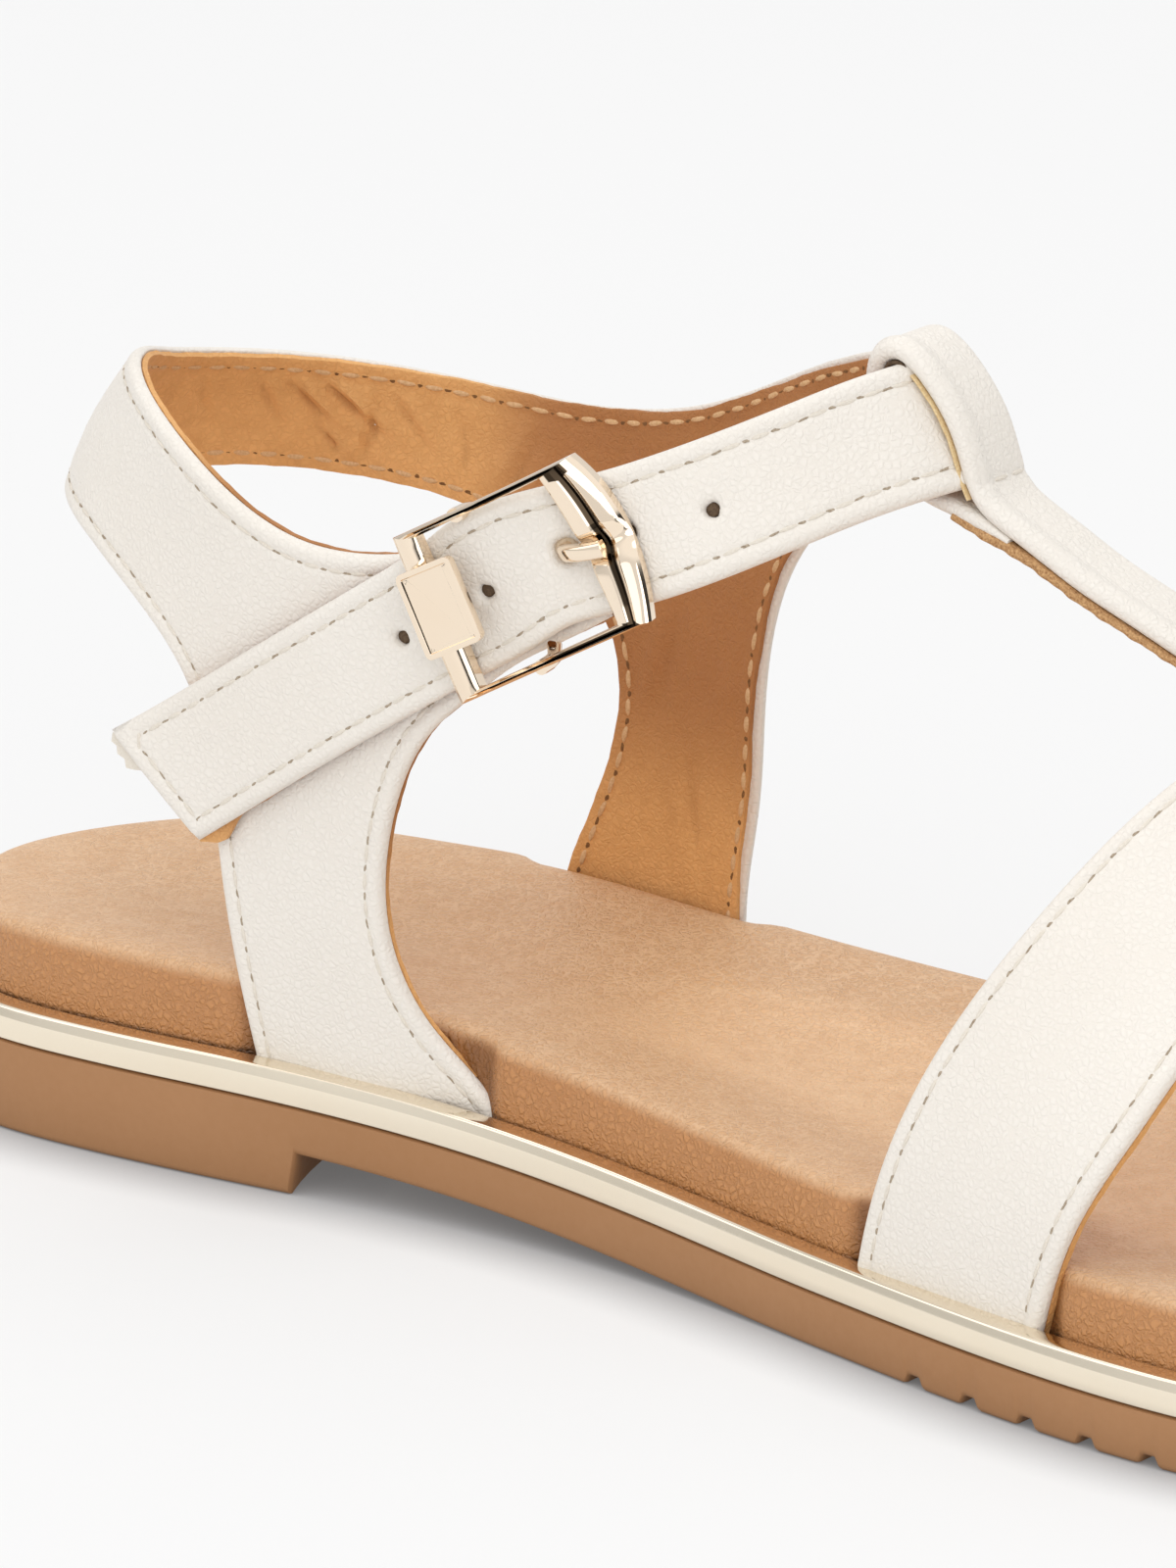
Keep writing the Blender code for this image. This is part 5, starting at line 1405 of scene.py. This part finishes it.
def pick(piece, kind, test):
    # selects the edges or faces that pass the test, and goes back to edit mode
    bpy.ops.object.mode_set(mode="OBJECT")
    mesh = piece.data
    for items in (mesh.vertices, mesh.edges, mesh.polygons):
        items.foreach_set("select", [False] * len(items))
    for item in getattr(mesh, kind):
        item.select = test(mesh, item)
    bpy.ops.object.mode_set(mode="EDIT")


def isUpright(mesh, edge):
    low, high = sorted(mesh.vertices[v].co.z for v in edge.vertices)
    return high - low > 0.5


def facesUp(mesh, face):
    return face.normal.z > 0.9


def platePiece():
    # a block with round corners and a sunk face, in d, w and o, then bent onto the strap
    (d0, d1), (w0, w1), (low, high) = buckle["plateD"], buckle["plateW"], buckle["plateO"]
    deselectAll()
    bpy.ops.mesh.primitive_cube_add(size=1.0)
    piece = bpy.context.object
    piece.name = "bucklePlate"
    bpy.ops.object.mode_set(mode="EDIT")
    bpy.ops.transform.resize(value=(d1 - d0, w1 - w0, high - low))
    bpy.ops.transform.translate(value=((d0 + d1) / 2, (w0 + w1) / 2, (low + high) / 2))
    bpy.ops.mesh.select_mode(type="EDGE")
    pick(piece, "edges", isUpright)
    bpy.ops.mesh.bevel(offset=buckle["plateCorner"], segments=4, affect="EDGES")
    bpy.ops.mesh.select_mode(type="FACE")
    pick(piece, "polygons", facesUp)
    bpy.ops.mesh.inset(thickness=buckle["plateFrame"], depth=0.0)
    bpy.ops.mesh.inset(thickness=buckle["plateSlope"], depth=-buckle["plateSunk"])
    bpy.ops.mesh.inset(thickness=buckle["plateField"], depth=0.0)
    bpy.ops.object.mode_set(mode="OBJECT")
    place = np.array([tuple(v.co) for v in piece.data.vertices])
    place[:, 0] += buckle["plateSkew"] * place[:, 1]
    piece.data.vertices.foreach_set("co", (bucklePoint(*place.T) * mm).ravel())
    edges = piece.modifiers.new("edges", "BEVEL")
    edges.width = buckle["plateEdge"] * mm
    edges.segments = 2
    edges.limit_method = "ANGLE"
    edges.angle_limit = math.radians(buckle["plateEdgeAngle"])
    bpy.ops.object.modifier_apply(modifier=edges.name)
    return tidyMesh(piece, 30.0, closeEnds=False)


frameRings, frameDarkReflection = buckleFrameRings()
buckleFrame = loftPiece("buckleFrame", frameRings, closedAlong=True, sharpAngle=24.0)
markNearest(buckleFrame, "darkReflection", frameRings, frameDarkReflection)
settle(buckleFrame, buckleGold, "gold_metal", "buckle_frame")
half, radius = buckle["centreLine"], buckle["centreRadius"]
centrePath = [(buckle["centreD"], w, o) for w, o in half + [(-w, o) for w, o in half[-2::-1]]]
centreRings = rodRings(centrePath, radius, radius, buckle["centreSides"])
settle(loftPiece("buckleCentreBar", centreRings, sharpAngle=50.0), buckleGold, "gold_metal")
prongPath = [(d, w, o) for d, o, w in alongCurve(buckle["prongLine"], buckle["prongStep"])]
prongRings = rodRings(prongPath, buckle["prongWide"], buckle["prongThick"], buckle["prongSides"],
                      buckle["prongPower"])
settle(loftPiece("bucklePin", prongRings), buckleGold, "gold_metal", "buckle_prong")
bucklePlate = platePiece()
settle(bucklePlate, buckleGold, "gold_metal", "buckle_plate")
print("buckle made")


# floor, light and camera

studio = {
    "floorSize": 14.0, "floorColour": (0.5, 0.5, 0.5), "floorGlow": 0.36,
    # painted contact shadow: the floor darkens close under the sole: reach, power
    "shade": (0.010, 1.3), "shadeLeast": 0.3, "shadeColour": (0.16, 0.16, 0.17),
    # the sky from left to right: place, brightness
    "skySides": [(0.0, 0.55), (0.3, 0.8), (0.84, 0.8), (0.9, 0.05), (1.0, 0.05)],
    "skyTop": 1.0, "skyTopFrom": 0.62, "skyTopTo": 0.8,
    # name, place, size, power
    "lights": [
        ("topSoftbox", (-0.2, 0.35, 1.5), 1.8, 6.0), ("keyFill", (1.2, -1.25, 1.3), 1.5, 10.5),
        ("leftFill", (-1.4, -1.0, 1.0), 1.2, 3.0), ("frontFill", (-0.3, -2.3, 0.9), 1.4, 3.0),
        ("rightFill", (1.9, -0.8, 0.5), 1.0, 4.0),
    ],
    "lightTarget": (0.0, 0.0, 0.05),
}


def makeFloor():
    deselectAll()
    bpy.ops.mesh.primitive_plane_add(size=studio["floorSize"], location=(0.0, 0.0, 0.0))
    floor = bpy.context.object
    floor.name = "studioFloor"
    paper = Finish("paleFloor", 0.9, specular=0.1)
    paper.inputs["Emission Color"].default_value = (1.0, 1.0, 1.0, 1.0)
    reach, power = studio["shade"]
    # painted contact shadow: ambient occlusion dims the floor's glow and colour near the sole
    near = addNode(paper.tree, "ShaderNodeAmbientOcclusion", {"Distance": reach})
    openShare = paper.calc("POWER", near.outputs["AO"], power)
    kept = paper.scaled(openShare, 1 - studio["shadeLeast"])
    kept = paper.calc("ADD", kept, studio["shadeLeast"])
    paper.tree.links.new(paper.scaled(kept, studio["floorGlow"]), paper.inputs["Emission Strength"])
    paper.colour(paper.blend(openShare, studio["shadeColour"], studio["floorColour"]))
    floor.data.materials.append(paper.material)


def makeLights():
    world = bpy.data.worlds.new("studioWorld")
    world.use_nodes = True
    tree = world.node_tree
    way = addNode(tree, "ShaderNodeTexCoord").outputs["Generated"]
    axes = addNode(tree, "ShaderNodeSeparateXYZ", {"Vector": way}).outputs
    side = addMath(tree, "ADD", addMath(tree, "MULTIPLY", axes["X"], 0.5), 0.5)
    ramp = addNode(tree, "ShaderNodeValToRGB", {"Fac": side})
    steps = ramp.color_ramp.elements
    while len(steps) < len(studio["skySides"]):
        steps.new(0.5)
    for step, (place, level) in zip(steps, studio["skySides"]):
        step.position = place
        step.color = (level, level, level, 1.0)
    above = addSoftRange(tree, axes["Z"], studio["skyTopFrom"], studio["skyTopTo"])
    sky = addMix(tree, above, ramp.outputs["Color"], (studio["skyTop"],) * 3)
    tree.links.new(sky, tree.nodes["Background"].inputs["Color"])
    bpy.context.scene.world = world
    for name, place, size, power in studio["lights"]:
        bpy.ops.object.light_add(type="AREA", location=place)
        light = bpy.context.object
        light.name = name
        light.data.shape = "DISK"
        light.data.size = size
        light.data.energy = power
        aim = Vector(studio["lightTarget"]) - Vector(place)
        light.rotation_euler = aim.to_track_quat("-Z", "Y").to_euler()


lens = {
    "elevation": 17.0, "azimuth": 37.0, "place": (0.81747, -1.14370, 0.48030),
    "focal": 432.0, "sensor": 36.0, "farthest": 50.0,
}


def makeCamera():
    lift, turn = math.radians(lens["elevation"]), math.radians(lens["azimuth"])
    back = Vector((math.sin(turn) * math.cos(lift), -math.cos(turn) * math.cos(lift), math.sin(lift)))
    right = Vector((math.cos(turn), math.sin(turn), 0.0))
    up = back.cross(right)
    camera = bpy.data.cameras.new("photoCamera")
    camera.lens = lens["focal"]
    camera.sensor_width = lens["sensor"]
    camera.sensor_fit = "HORIZONTAL"
    camera.clip_end = lens["farthest"]
    holder = bpy.data.objects.new("photoCamera", camera)
    bpy.context.scene.collection.objects.link(holder)
    rows = [(right[k], up[k], back[k], lens["place"][k]) for k in range(3)] + [(0.0, 0.0, 0.0, 1.0)]
    holder.matrix_world = Matrix(rows)
    bpy.context.scene.camera = holder


makeFloor()
makeLights()
makeCamera()
bpy.context.scene.view_settings.view_transform = "Standard"
print("stage, light and camera made")
